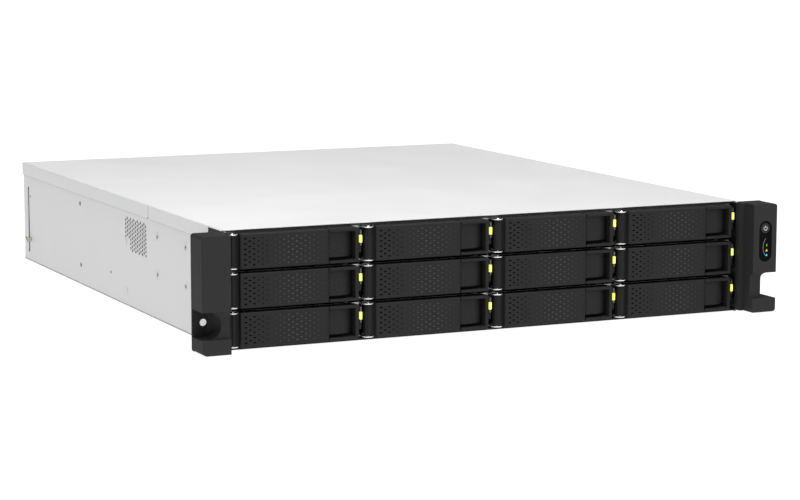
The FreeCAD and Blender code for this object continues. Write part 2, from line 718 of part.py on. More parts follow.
def make_mainboard():
    left, right = "-inner_half + 2", "mainboard_right"
    pieces = [box("mainboard_sheet", (left, right), ("mainboard_front", "chassis_back - steel - 1"),
                  ("mainboard_top - board", "mainboard_top"))]
    for x in ("-inner_half + 12", "-60", "mainboard_right - 12"):
        for y in ("mainboard_front + 10", "(mainboard_front + chassis_back) / 2", "chassis_back - 30"):
            pieces.append(rod("standoff_post", "z", "3", (x, y, "steel"), "standoff"))
    pieces += [port_can("lan_port", spot, LAN_SIZE, [(2, 2.5, 9, 14)]) for spot in LAN_LEFTS]
    pieces += [port_can("usb_port", spot, USB_SIZE, [(0.8, 1.6, 5.2, 12), (0.8, 8.8, 5.2, 12)])
               for spot in USB_LEFTS]
    for spot in MEMORY_LEFTS:
        pieces.append(box("memory_socket", (spot - 1.5, spot + 4.5), on_board(SOCKET_RUN),
                          ("mainboard_top", "mainboard_top + 5")))
    pieces.append(box("processor", PROCESSOR[0], on_board(PROCESSOR[1]),
                      ("mainboard_top", "mainboard_top + processor_height")))
    pieces.append(box("controller_chip", CONTROLLER[0], on_board(CONTROLLER[1]),
                      ("mainboard_top", "mainboard_top + 3")))
    place(group("mainboard_set", pieces), "mainboard")

    x, y, wide, deep, tall = HEATSINK
    run, floor = on_board((y, y + deep)), "mainboard_top + processor_height"
    parts = [box("sink_base", (x, x + wide), run, (floor, f"{floor} + 6"))]
    for fin in range(FINS):
        low = x + fin * (wide - FIN_WALL) / (FINS - 1)
        parts.append(box("sink_fin", (low, low + FIN_WALL), run, (f"{floor} + 5", f"{floor} + {tall}")))
    place(fuse("sink_parts", parts), "processor_heatsink")

    modules = [box("memory_module", (spot, spot + 3), on_board(MODULE_RUN),
                   ("mainboard_top + 5", "mainboard_top + 31")) for spot in MEMORY_LEFTS]
    place(group("memory_set", modules), "memory_modules")


# ---------------------------------------------------------------- rack ears and controls
def make_ear(side, scoop_tools, extra_tools):
    """One rack ear: the plastic cover block and the steel angle behind it.
    The left ear is drawn first, at negative X; side is +1 to draw the right one."""
    sign = "-" if side < 0 else ""

    def across(*spots):
        """X from the middle outwards, on this ear's side."""
        values = [f"{sign}({spot})" for spot in spots]
        return tuple(values[::-1]) if side < 0 else tuple(values)

    half = "panel_width / 2"
    block = extrude("ear_block", "xy", [
        (f"{sign}({half} - ear_bevel)", "0"), (f"{sign}({half})", "ear_bevel"),
        (f"{sign}({half})", "flange_front"),
        (f"{sign}(wall_half + 0.1)", "flange_front"), (f"{sign}(wall_half + 0.1)", "cover_step"),
        (f"{sign}(cover_inner)", "cover_step"), (f"{sign}(cover_inner)", "0"),
    ], "ear_inset", "ear_top")
    dish = rod("ear_dish", "x", "dish_radius",
               (across("wall_half - 5", f"{half} + 5")[0], "-dish_place", "scoop_middle"),
               f"{half} + 10 - wall_half")
    cover = cut("ear_cover", block, [dish] + scoop_tools + extra_tools)
    hole = rod("rack_hole", "y", "hole_radius", (f"{sign}(hole_span / 2)", "0", "hole_height"),
               "front_reach + 1")
    angle = cut("ear_angle", fuse("ear_angle_plates", [
        box("ear_flange", across("wall_half", half), ("flange_front", "front_reach"),
            ("ear_inset", "ear_top")),
        box("ear_side", across("wall_half", "wall_half + flange"), ("flange_front", "side_plate_back"),
            ("ear_inset", "ear_top")),
    ]), [hole])
    return [cover, angle]


def make_ears():
    half = "panel_width / 2"
    # Left: a scoop with a half-round inner end, open to the front and to the outer side.
    radius = "scoop_height / 2"
    end = f"-({half}) + scoop_reach - {radius}"
    scoop = [
        rod("scoop_end", "y", radius, (end, "-1", "scoop_middle"), "flange_front + 1"),
        box("scoop_run", (f"-({half}) - 5", end), ("-1", "flange_front"),
            ("scoop_floor", "scoop_floor + scoop_height")),
    ]
    place(group("ear_left_set", make_ear(-1, scoop, [])), "ear_left")

    # Right: a square notch with one rounded corner, and the control panel's parts above it.
    inner = f"{half} - notch_reach"
    notch = [
        box("notch_low", (inner, f"{half} + 5"), ("-1", "flange_front"),
            ("scoop_floor", "scoop_floor + scoop_height - notch_step")),
        box("notch_high", (f"{inner} + notch_step", f"{half} + 5"), ("-1", "flange_front"),
            ("scoop_floor", "scoop_floor + scoop_height")),
        rod("notch_corner", "y", "notch_step",
            (f"{inner} + notch_step", "-1", "scoop_floor + scoop_height - notch_step"), "flange_front + 1"),
        rod("screw_room", "y", "screw_room", ("hole_span / 2", "flange_front - 10", "hole_height"), "10"),
    ]
    middle = f"{half} - button_place"
    low, high = "pill_floor + pill_width / 2", "pill_floor + pill_height - pill_width / 2"

    def pill(name, grow, depth):
        """An upright round-ended bar in the ear's face."""
        reach = f"pill_width / 2 + {grow}"
        return fuse(name, [
            rod(name + "_low", "y", reach, (middle, "0", low), depth),
            rod(name + "_high", "y", reach, (middle, "0", high), depth),
            box(name + "_middle", (f"{middle} - ({reach})", f"{middle} + {reach}"), ("0", depth),
                (low, high)),
        ])

    button_bore = rod("button_bore", "y", "button_radius + button_gap", (middle, "-1", "button_height"), "24")
    ear = make_ear(1, notch, [pill("panel_pocket", "0.1", "1.5"), button_bore])
    lens = cut("status_lens", pill("panel_lens", "0", "1.5"),
               [rod("lens_bore", "y", "button_radius + button_gap", (middle, "-1", "button_height"), "4")])
    place(group("ear_right_set", ear + [lens]), "ear_right")

    button = fuse("button_solid", [
        rod("button_cap", "y", "button_radius", (middle, "0.1", "button_height"), "6"),
        rod("button_stem", "y", "button_radius / 2", (middle, "5", "button_height"), "10"),
    ])
    place(button, "power_button")


def make_fasteners():
    """The flush cage screws and the shouldered studs on both side walls."""
    pieces = []
    for sign in ("-", ""):
        for depth, height in CAGE_SCREWS:
            start = "-(wall_half - 0.3)" if sign else "inner_half - 0.6"
            pieces.append(rod("cage_screw", "x", "1.65", (start, depth, height), "steel + 0.3"))
        neck = "-(wall_half + 4)" if sign else "wall_half"
        head = "-(wall_half + 5)" if sign else "wall_half + 4"
        pieces.append(fuse("side_stud", [
            rod("stud_neck", "x", "1.8", (neck, STUD[0], STUD[1]), "4"),
            rod("stud_head", "x", "3.0", (head, STUD[0], STUD[1]), "1"),
        ]))
    place(group("fastener_set", pieces), "side_screws_and_studs")


make_chassis()
make_covers()
make_rear_panel()
make_drive_cage()
make_bays()
make_backplane()
make_fans()
make_supplies()
make_mainboard()
make_ears()
make_fasteners()
doc.recompute()

for thing in doc.Objects:
    if "Invalid" in thing.State or "Error" in thing.State:
        raise RuntimeError(f"{thing.Name} ({thing.Label}) failed: {thing.State}")
for node in nodes:
    if node.Shape.isNull() or not node.Shape.isValid() or not node.Shape.Solids:
        raise RuntimeError(f"{node.Label} has no valid solid")

os.makedirs("parts", exist_ok=True)
for node in nodes:
    node.Shape.exportStep(os.path.join("parts", node.Label + ".step"))
print(len(nodes), "nodes written")
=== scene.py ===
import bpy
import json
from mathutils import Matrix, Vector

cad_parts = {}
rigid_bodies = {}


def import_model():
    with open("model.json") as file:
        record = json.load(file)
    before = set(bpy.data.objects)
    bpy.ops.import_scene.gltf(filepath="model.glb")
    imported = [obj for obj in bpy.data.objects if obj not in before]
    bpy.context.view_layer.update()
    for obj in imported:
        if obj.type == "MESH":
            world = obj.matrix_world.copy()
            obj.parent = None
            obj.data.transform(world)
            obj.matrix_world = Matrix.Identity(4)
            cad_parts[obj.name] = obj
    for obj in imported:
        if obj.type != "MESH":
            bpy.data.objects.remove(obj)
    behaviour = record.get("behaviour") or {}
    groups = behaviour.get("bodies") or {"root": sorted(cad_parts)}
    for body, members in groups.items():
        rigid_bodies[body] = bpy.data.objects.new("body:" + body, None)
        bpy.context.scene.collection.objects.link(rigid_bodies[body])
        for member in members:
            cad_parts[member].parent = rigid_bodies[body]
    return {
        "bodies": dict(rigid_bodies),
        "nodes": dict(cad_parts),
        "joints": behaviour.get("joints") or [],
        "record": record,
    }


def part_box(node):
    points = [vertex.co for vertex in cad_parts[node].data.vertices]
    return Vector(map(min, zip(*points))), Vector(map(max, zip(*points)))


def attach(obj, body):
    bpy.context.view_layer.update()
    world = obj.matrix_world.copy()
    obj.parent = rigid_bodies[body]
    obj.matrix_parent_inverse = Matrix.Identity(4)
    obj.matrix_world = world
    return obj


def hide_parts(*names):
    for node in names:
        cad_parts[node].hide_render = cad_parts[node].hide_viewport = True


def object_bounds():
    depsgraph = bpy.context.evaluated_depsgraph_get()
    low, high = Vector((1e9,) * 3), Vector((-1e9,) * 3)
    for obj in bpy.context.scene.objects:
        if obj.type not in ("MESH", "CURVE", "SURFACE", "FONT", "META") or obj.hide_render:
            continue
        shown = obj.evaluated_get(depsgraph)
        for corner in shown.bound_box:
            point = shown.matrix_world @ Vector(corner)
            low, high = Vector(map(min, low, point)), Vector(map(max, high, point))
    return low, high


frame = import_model()
cad_bounds = [list(corner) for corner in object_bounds()]

import json
import math

import bmesh
import bpy
from mathutils import Matrix, Vector

# A rack-mount storage server: pale powder-coated sheet steel, black moulded trays and rack ears,
# bright zinc hinge plates and green-yellow light pipes. Lengths are in millimetres, X to the right,
# Y to the back, Z up, and become metres where a mesh is handed over.

MM = 0.001


def corners(node):
    """A CAD node's lowest and highest corner, in millimetres."""
    low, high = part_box(node)
    return low / MM, high / MM


FRONT = (Vector(cad_bounds[0]) / MM).y
BAYS = [(row, column) for row in range(1, 4) for column in range(1, 5)]


# ---------------------------------------------------------------- finishes
def linear(colour):
    """An sRGB hex colour as linear red, green, blue and alpha."""
    parts = [int(colour[place:place + 2], 16) / 255 for place in (0, 2, 4)]
    return [part / 12.92 if part <= 0.04045 else ((part + 0.055) / 1.055) ** 2.4 for part in parts] + [1.0]


def add(tree, kind, inputs=None, out=None, **settings):
    """A shader node with its settings, and its inputs given as values or as sockets to link. Gives the
    output asked for, or else its first one in use."""
    node = tree.nodes.new("ShaderNode" + kind)
    for name, value in settings.items():
        setattr(node, name, value)
    for name, value in (inputs or {}).items():
        if isinstance(value, bpy.types.NodeSocket):
            tree.links.new(value, node.inputs[name])
        else:
            node.inputs[name].default_value = value
    return node.outputs[out] if out else next(socket for socket in node.outputs if socket.enabled)


def finish_named(name, colour, roughness, **sockets):
    """A new material, its node tree and its own coordinates, with constants on the shader's sockets."""
    material = bpy.data.materials.new(name)
    material.use_nodes = True
    tree = material.node_tree
    for socket, value in {"Base_Color": linear(colour), "Roughness": roughness, **sockets}.items():
        tree.nodes["Principled BSDF"].inputs[socket.replace("_", " ")].default_value = value
    return material, tree, add(tree, "TexCoord", out="Object")


def feed(material, **sockets):
    """Links what varies over the surface to the shader's sockets, and gives the material back."""
    tree = material.node_tree
    for socket, output in sockets.items():
        tree.links.new(output, tree.nodes["Principled BSDF"].inputs[socket.replace("_", " ")])
    return material


def per(size):
    """A texture's scale for a grain of that many millimetres."""
    return 1000 / size


def powder_coated_steel():
    """Sheet steel under baked pale grey powder paint. The melted powder leaves an orange peel about
    1 mm wide, and its film is a touch darker and glossier where it lies thinner. Holes, tight seams and
    creases are darkened by an occlusion node as painted shade, and the inside of the case is painted
    a dull dark grey as painted shade, so that the vents and gaps look dark."""
    material, tree, where = finish_named("powder_coated_steel", "dcdcdd", 0.42)
    peel = add(tree, "TexNoise", {"Vector": where, "Scale": per(1.1), "Detail": 3.0, "Roughness": 0.45})
    film = add(tree, "TexNoise", {"Vector": where, "Scale": per(60), "Detail": 2.0})
    tone = add(tree, "Mix", {"Factor": film, "A": linear("dbdbdc"), "B": linear("e3e3e3")},
               data_type="RGBA")
    gloss = add(tree, "MapRange", {"Value": film, "To Min": 0.38, "To Max": 0.48})
    bump = add(tree, "Bump", {"Height": peel, "Strength": 0.12, "Distance": 0.05 * MM})
    # Painted shade: occlusion within 3 mm turns the colour towards 3a3a3b in holes, seams and creases.
    corner = add(tree, "AmbientOcclusion", {"Color": tone, "Distance": 3.0 * MM}, "AO", samples=8)
    crease_shade_share = add(tree, "MapRange", {"Value": corner, "From Min": 0.5, "From Max": 0.82, "To Min": 0.04})
    shade = add(tree, "Mix", {"Factor": crease_shade_share, "A": linear("3a3a3b"), "B": tone}, data_type="RGBA")
    # Painted shade: inside the case, below the cover and ahead of the rear panel, the colour is a dull dark
    # grey so the vents look dark.
    inner = corners("front_cover")[1] - Vector((1.75, 0, 0.7))
    spot = add(tree, "SeparateXYZ", {"Vector": where}).node.outputs
    across = add(tree, "Math", {0: spot["X"]}, operation="ABSOLUTE")
    parts = [add(tree, "Math", {0: across, 1: inner.x * MM}, operation="LESS_THAN"),
             add(tree, "Math", {0: spot["Z"], 1: inner.z * MM}, operation="LESS_THAN"),
             add(tree, "Math", {0: spot["Z"], 1: 0.6 * MM}, operation="GREATER_THAN"),
             add(tree, "Math", {0: spot["Y"], 1: (corners("rear_panel")[0].y - 1) * MM},
                 operation="LESS_THAN")]
    within = parts[0]
    for part in parts[1:]:
        within = add(tree, "Math", {0: within, 1: part}, operation="MULTIPLY")
    inside_shade_colour = add(tree, "Mix", {"Factor": within, "A": shade, "B": linear("3e3f40")}, data_type="RGBA")
    return feed(material, Base_Color=inside_shade_colour, Roughness=gloss, Normal=bump)


def galvanised_steel():
    """Cold-rolled sheet with a thin bright zinc coat: a faint crystal spangle about 5 mm wide over the
    rolling lines, and a soft metal sheen."""
    material, tree, where = finish_named("galvanised_steel", "c9cbcd", 0.34, Metallic=1.0)
    spangle = add(tree, "TexVoronoi", {"Vector": where, "Scale": per(5)}, "Color")
    stretched = add(tree, "Mapping", {"Vector": where, "Scale": (per(0.4), per(30), per(0.4))})
    rolling = add(tree, "TexNoise", {"Vector": stretched, "Scale": 1.0, "Detail": 2.0})
    tone = add(tree, "Mix", {"Factor": spangle, "A": linear("bfc1c3"), "B": linear("d6d8da")},
               data_type="RGBA")
    gloss = add(tree, "MapRange", {"Value": rolling, "To Min": 0.26, "To Max": 0.42})
    return feed(material, Base_Color=tone, Roughness=gloss)


def painted_shade_steel():
    """Dark steel of the drive cage, made dark as painted shade because the cage lies in shadow behind
    the trays: a dark blue-grey sheen with cloudy patches about 8 mm wide."""
    material, tree, where = finish_named("painted_shade_steel", "3c3d3f", 0.35, Metallic=0.9)
    patches = add(tree, "TexNoise", {"Vector": where, "Scale": per(8), "Detail": 4.0})
    tone = add(tree, "Mix", {"Factor": patches, "A": linear("333436"), "B": linear("48494c")},
               data_type="RGBA")
    gloss = add(tree, "MapRange", {"Value": patches, "To Min": 0.28, "To Max": 0.45})
    return feed(material, Base_Color=tone, Roughness=gloss)


def bright_zinc():
    """Blanked hinge plates in bright zinc: nearly a mirror, with fine tumbling marks in its gloss."""
    material, tree, where = finish_named("bright_zinc", "fbfbfc", 0.15, Metallic=1.0)
    marks = add(tree, "TexNoise", {"Vector": where, "Scale": per(0.5), "Detail": 4.0})
    gloss = add(tree, "MapRange", {"Value": marks, "To Min": 0.1, "To Max": 0.2})
    return feed(material, Roughness=gloss)


def rolled_edge():
    """The rubbed edge of a zinc-plated hinge plate: the plating is polished thin by the rolling, in fine
    lines along the edge, so it catches light from all round and reads nearly white."""
    material, tree, where = finish_named("rolled_plate_edge", "fafaf8", 0.5, Metallic=1.0)
    lines = add(tree, "TexNoise", {"Vector": where, "Scale": per(0.8), "Detail": 2.0})
    gloss = add(tree, "MapRange", {"Value": lines, "To Min": 0.42, "To Max": 0.6})
    return feed(material, Roughness=gloss)


def black_abs(name, colour, gloss_low, gloss_high):
    """Black ABS moulded in a spark-eroded tool: a fine even pitting, drawn at 0.6 mm because the real
    0.1 mm pits are too fine to show, with slight flow marks in its gloss. Faces with a "lift" of 1 are
    dimples painted paler: a painted highlight where light catches their inner sides."""
    material, tree, where = finish_named(name, colour, gloss_low, Specular_IOR_Level=0.15)
    pits = add(tree, "TexNoise", {"Vector": where, "Scale": per(0.6), "Detail": 3.0, "Roughness": 0.6})
    flow = add(tree, "TexNoise", {"Vector": where, "Scale": per(25), "Detail": 2.0})
    gloss = add(tree, "MapRange", {"Value": flow, "To Min": gloss_low, "To Max": gloss_high})
    # How much painted highlight a dimple face carries, from 0 to 1.
    lift = add(tree, "Attribute", out="Fac", attribute_name="lift")
    tone = add(tree, "Mix", {"Factor": lift, "A": linear(colour), "B": linear("565658")},
               data_type="RGBA")
    bump = add(tree, "Bump", {"Height": pits, "Strength": 0.2, "Distance": 0.04 * MM})
    return feed(material, Base_Color=tone, Roughness=gloss, Normal=bump)


def piano_black_acrylic():
    """Polished black acrylic of the control panel's lens: deep black with a clear hard shine and the
    faintest waviness from moulding."""
    material, tree, where = finish_named("piano_black_acrylic", "010101", 0.12, Specular_IOR_Level=0.06)
    wave = add(tree, "TexNoise", {"Vector": where, "Scale": per(8)})
    bump = add(tree, "Bump", {"Height": wave, "Strength": 0.05, "Distance": 0.02 * MM})
    return feed(material, Normal=bump)


def lit_light_pipe():
    """Clear acrylic light pipe over a lit green-yellow lamp: palest at the middle of the window and
    deeper yellow towards its rim."""
    material, tree, where = finish_named("lit_light_pipe", "e8f20a", 0.25, Emission_Strength=0.9)
    centred = add(tree, "VectorMath", {0: where.node.outputs["Generated"], 1: (0.5, 0.5, 0.5)},
                  operation="SUBTRACT")
    apart = add(tree, "VectorMath", {0: centred, 1: (1.0, 0.0, 0.8)}, operation="MULTIPLY")
    reach = add(tree, "VectorMath", {0: apart}, operation="LENGTH")
    rim = add(tree, "MapRange", {"Value": reach, "From Min": 0.18, "From Max": 0.55})
    glow = add(tree, "Mix", {"Factor": rim, "A": linear("ffffb4"), "B": linear("d9ef00")},
               data_type="RGBA")
    return feed(material, Emission_Color=glow)


def smoked_acrylic():
    """Unlit ends of the light pipe: clear acrylic over black, grey with a soft streak of stray light."""
    material, tree, where = finish_named("smoked_acrylic", "2c2d2a", 0.2, Coat_Weight=0.5)
    streak = add(tree, "TexNoise", {"Vector": where, "Scale": per(2), "Detail": 1.0})
    tone = add(tree, "Mix", {"Factor": streak, "A": linear("1c1d1b"), "B": linear("5a5c52")},
               data_type="RGBA")
    return feed(material, Base_Color=tone)


def cast_aluminium():
    """Die-cast drive body, shot-blasted grey: fine grainy relief 0.8 mm wide and cloudy tone."""
    material, tree, where = finish_named("cast_aluminium", "a9abae", 0.5, Metallic=0.9)
    grit = add(tree, "TexNoise", {"Vector": where, "Scale": per(0.8), "Detail": 4.0})
    cloud = add(tree, "TexNoise", {"Vector": where, "Scale": per(18), "Detail": 2.0})
    tone = add(tree, "Mix", {"Factor": cloud, "A": linear("979a9d"), "B": linear("b9bbbe")},
               data_type="RGBA")
    bump = add(tree, "Bump", {"Height": grit, "Strength": 0.35, "Distance": 0.08 * MM})
    return feed(material, Base_Color=tone, Normal=bump)


def brushed_cover():
    """Stamped steel drive lid, brushed along its length: lines about 0.3 mm apart in its gloss."""
    material, tree, where = finish_named("brushed_cover", "c3c5c8", 0.3, Metallic=1.0)
    along = add(tree, "Mapping", {"Vector": where, "Scale": (per(0.3), per(40), per(0.3))})
    lines = add(tree, "TexNoise", {"Vector": along, "Scale": 1.0, "Detail": 3.0})
    gloss = add(tree, "MapRange", {"Value": lines, "To Min": 0.22, "To Max": 0.45})
    bump = add(tree, "Bump", {"Height": lines, "Strength": 0.1, "Distance": 0.02 * MM})
    return feed(material, Roughness=gloss, Normal=bump)


def solder_mask():
    """Glass-fibre board under green solder mask: copper tracks about 1 mm wide show through as paler
    green lines, and the lacquer is glossy."""
    material, tree, where = finish_named("solder_mask", "0f4a2a", 0.28)
    tracks = add(tree, "TexBrick", {"Vector": where, "Scale": per(9), "Mortar Size": 0.05, "Brick Width": 1.4,
                                    "Row Height": 0.3, "Color1": linear("0d4426"), "Color2": linear("0f4a2a"),
                                    "Mortar": linear("2c7a4c")})
    gloss = add(tree, "MapRange", {"Value": tracks.node.outputs["Fac"], "To Min": 0.25, "To Max": 0.4})
    return feed(material, Base_Color=tracks, Roughness=gloss)


def extruded_aluminium():
    """Extruded heatsink, left bright: die lines along the fins, 0.5 mm apart."""
    material, tree, where = finish_named("extruded_aluminium", "c9cacc", 0.35, Metallic=1.0)
    along = add(tree, "Mapping", {"Vector": where, "Scale": (per(0.5), per(60), per(0.5))})
    lines = add(tree, "TexNoise", {"Vector": along, "Scale": 1.0, "Detail": 2.0})
    gloss = add(tree, "MapRange", {"Value": lines, "To Min": 0.28, "To Max": 0.5})
    return feed(material, Roughness=gloss)


def glass_filled_nylon():
    """Black fan plastic with short glass fibres, which show as pale 1 mm flecks in a satin skin."""
    material, tree, where = finish_named("glass_filled_nylon", "1b1b1d", 0.45)
    fibres = add(tree, "TexVoronoi", {"Vector": where, "Scale": per(1)}, feature="DISTANCE_TO_EDGE")
    fleck = add(tree, "MapRange", {"Value": fibres, "From Max": 0.06, "To Min": 1.0, "To Max": 0.0})
    tone = add(tree, "Mix", {"Factor": fleck, "A": linear("19191b"), "B": linear("262628")},
               data_type="RGBA")
    return feed(material, Base_Color=tone)


def green_pbt():
    """Green PBT of the power supplies' release levers: an even satin moulding with a faint grain."""
    material, tree, where = finish_named("green_pbt", "1f7a48", 0.4)
    grain = add(tree, "TexNoise", {"Vector": where, "Scale": per(0.7), "Detail": 2.0})
    bump = add(tree, "Bump", {"Height": grain, "Strength": 0.15, "Distance": 0.03 * MM})
    return feed(material, Normal=bump)


def nickel_shell():
    """Drawn port shells and screws in bright nickel: smooth metal with hairline draw marks."""
    material, tree, where = finish_named("nickel_shell", "cfcbc4", 0.22, Metallic=1.0)
    marks = add(tree, "TexNoise", {"Vector": where, "Scale": per(0.35), "Detail": 3.0})
    gloss = add(tree, "MapRange", {"Value": marks, "To Min": 0.16, "To Max": 0.34})
    return feed(material, Roughness=gloss)


def gold_plating():
    """Gold flash on spring contacts: warm, smooth metal, a little uneven in gloss."""
    material, tree, where = finish_named("gold_plating", "d9a441", 0.25, Metallic=1.0)
    wear = add(tree, "TexNoise", {"Vector": where, "Scale": per(1)})
    gloss = add(tree, "MapRange", {"Value": wear, "To Min": 0.2, "To Max": 0.36})
    return feed(material, Roughness=gloss)


def lamp_ink(name, colour, strength):
    """Translucent ink over a small lamp: an even soft glow in one colour, with a slight print grain."""
    material, tree, where = finish_named(name, colour, 0.4, Emission_Strength=strength)
    grain = add(tree, "TexNoise", {"Vector": where, "Scale": per(0.3)})
    pale = [0.75 * part for part in linear(colour)[:3]] + [1.0]
    tone = add(tree, "Mix", {"Factor": grain, "A": pale, "B": linear(colour)}, data_type="RGBA")
    return feed(material, Base_Color=tone, Emission_Color=tone)


PAINT = powder_coated_steel()
ZINC = galvanised_steel()
BRIGHT = bright_zinc()
EDGE = rolled_edge()
SHADE_STEEL = painted_shade_steel()
TRAY_BLACK = black_abs("tray_black_abs", "242425", 0.6, 0.7)
EAR_BLACK = black_abs("ear_black_abs", "2b2b2c", 0.6, 0.7)
GLOSS_BLACK = piano_black_acrylic()
GLOW = lit_light_pipe()
SMOKED = smoked_acrylic()
CASTING = cast_aluminium()
DRIVE_LID = brushed_cover()
BOARD = solder_mask()
SINK = extruded_aluminium()
NYLON = glass_filled_nylon()
LEVER_GREEN = green_pbt()
NICKEL = nickel_shell()
GOLD = gold_plating()
WHITE_INK = lamp_ink("white_lamp_ink", "c4c6c8", 0.2)
GREY_INK = lamp_ink("grey_ink", "6d6e70", 0.0)
GREEN_INK = lamp_ink("green_lamp_ink", "59c01e", 0.6)
AMBER_INK = lamp_ink("amber_lamp_ink", "e8a412", 0.6)
CYAN_INK = lamp_ink("cyan_lamp_ink", "22b8e0", 0.6)
BLUE_PLASTIC = lamp_ink("blue_port_plastic", "1f4fa8", 0.0)


# ---------------------------------------------------------------- making meshes
def span(side, near, far):
    """A stretch along X on one side of the middle, its lower end first."""
    return sorted((side * near, side * far))


AXES = {
    "x": lambda a, b, c: (c, a, b),
    "y": lambda a, b, c: (a, c, b),
    "z": lambda a, b, c: (a, b, c),
}


def circle(centre, radius, steps=32, start=0.0, sweep=2 * math.pi):
    """Points round a circle, or along an arc of it where the sweep is less than a full turn."""
    full = abs(sweep) > 6.28
    turns = [start + sweep * step / (steps if full else steps - 1) for step in range(steps)]
    return [(centre[0] + radius * math.cos(turn), centre[1] + radius * math.sin(turn)) for turn in turns]


def rounded(a, b, radius, steps=6):
    """A rectangle's outline with round corners: one radius, or four from the low-low corner round."""
    radii = radius if isinstance(radius, (list, tuple)) else [radius] * 4
    points = []
    for corner, reach in enumerate(radii):
        right, top = corner in (1, 2), corner in (2, 3)
        spot = (a[1] - reach if right else a[0] + reach, b[1] - reach if top else b[0] + reach)
        if reach > 0:
            points += circle(spot, reach, steps, math.pi * (1 + corner / 2), math.pi / 2)
        else:
            points.append(spot)
    return points


SHARP = 26


class Form:
    """A closed mesh in the making, in millimetres. Faces take the material number in use."""

    def __init__(self):
        self.mesh = bmesh.new()
        self.lift = self.mesh.faces.layers.float.new("lift")
        self.use = 0

    def face(self, vertices, lift=0.0):
        face = self.mesh.faces.new(vertices)
        face.material_index = self.use
        face[self.lift] = lift
        return face

    def vertex(self, x, y, z):
        return self.mesh.verts.new((x, y, z))

    def prism(self, axis, outline, low, high):
        """A straight bar: the outline lies across the axis, in X, Y, Z order."""
        turn = AXES[axis]
        ends = [[self.vertex(*turn(a, b, level)) for a, b in outline] for level in (low, high)]
        count = len(outline)
        self.face(ends[0])
        self.face(ends[1])
        for place in range(count):
            after = (place + 1) % count
            self.face([ends[0][place], ends[0][after], ends[1][after], ends[1][place]])
        return self

    def block(self, x, y, z):
        return self.prism("z", [(x[0], y[0]), (x[1], y[0]), (x[1], y[1]), (x[0], y[1])], *z)

    def rod(self, axis, centre, radius, low, high, steps=32):
        return self.prism(axis, circle(centre, radius, steps), low, high)

    def turned(self, axis, centre, profile, steps=36, closed=False):
        """A shape of revolution about the axis: profile points are (radius, distance along it)."""
        turn = AXES[axis]
        rings = []
        for radius, along in profile:
            spots = [centre] if radius == 0 else circle(centre, radius, steps)
            rings.append([self.vertex(*turn(a, b, along)) for a, b in spots])
        pairs = list(zip(rings, rings[1:] + rings[:1])) if closed else list(zip(rings, rings[1:]))
        for first, second in pairs:
            for step in range(steps):
                after = (step + 1) % steps
                spots = []
                for ring, order in ((first, (step, after)), (second, (after, step))):
                    spots += [ring[0]] if len(ring) == 1 else [ring[place] for place in order]
                self.face(spots)
        return self

    def soften(self, width, segments=2, angle=35):
        """Rounds every edge sharper than the angle."""
        bmesh.ops.recalc_face_normals(self.mesh, faces=self.mesh.faces)
        sharp = [edge for edge in self.mesh.edges
                 if len(edge.link_faces) == 2 and edge.calc_face_angle(0) > math.radians(angle)]
        bmesh.ops.bevel(self.mesh, geom=sharp, offset=width, segments=segments, profile=0.5,
                        affect="EDGES", clamp_overlap=True, material=-1)
        return self

    def join(self, other, material=None, offset=(0, 0, 0)):
        """Takes in another form, moved by the offset and, if asked, all in one material."""
        carried = other.mesh.copy()
        bmesh.ops.translate(carried, verts=carried.verts, vec=offset)
        if material is not None:
            for face in carried.faces:
                face.material_index = material
        keep = bpy.data.meshes.new("joined")
        carried.to_mesh(keep)
        carried.free()
        self.mesh.from_mesh(keep)
        bpy.data.meshes.remove(keep)
        self.lift = self.mesh.faces.layers.float["lift"]
        return self

    def carve(self, tool):
        """Cuts the tool's closed shape away."""
        things = []
        for form in (self, tool):
            bmesh.ops.recalc_face_normals(form.mesh, faces=form.mesh.faces)
            data = bpy.data.meshes.new("carving")
            form.mesh.to_mesh(data)
            thing = bpy.data.objects.new("carving", data)
            bpy.context.scene.collection.objects.link(thing)
            things.append(thing)
        knife = things[0].modifiers.new("carve", "BOOLEAN")
        knife.object, knife.operation, knife.solver, knife.use_self = things[1], "DIFFERENCE", "EXACT", True
        self.mesh.clear()
        self.mesh.from_object(things[0], bpy.context.evaluated_depsgraph_get())
        self.lift = self.mesh.faces.layers.float.get("lift") or self.mesh.faces.layers.float.new("lift")
        for thing in things:
            data = thing.data
            bpy.data.objects.remove(thing)
            bpy.data.meshes.remove(data)
        return self

    def place(self, name, materials, body, slot=None, stands_for=()):
        """Finishes the mesh and sets it in the scene as a piece of the same name."""
        return piece(name, self.finished(name, materials), body, slot, stands_for)

    def finished(self, name, materials):
        """The mesh in metres, smooth across gentle edges and sharp across others."""
        bmesh.ops.remove_doubles(self.mesh, verts=self.mesh.verts, dist=1e-4)
        bmesh.ops.recalc_face_normals(self.mesh, faces=self.mesh.faces)
        bmesh.ops.scale(self.mesh, vec=(MM, MM, MM), verts=self.mesh.verts)
        for face in self.mesh.faces:
            face.smooth = True
        data = bpy.data.meshes.new(name)
        self.mesh.to_mesh(data)
        self.mesh.free()
        data.set_sharp_from_angle(angle=math.radians(SHARP))
        for material in materials:
            data.materials.append(material)
        return data


def piece(name, data, body, slot=None, stands_for=(), spot=(0, 0, 0)):
    """An object of the mesh, at a place in millimetres, riding on a body."""
    thing = bpy.data.objects.new(name, data)
    bpy.context.scene.collection.objects.link(thing)
    thing.location = Vector(spot) * MM
    flat = thing.modifiers.new("flat_faces", "WEIGHTED_NORMAL")
    flat.keep_sharp, flat.weight = True, 100
    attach(thing, body)
    if stands_for:
        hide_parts(*stands_for)
    return thing


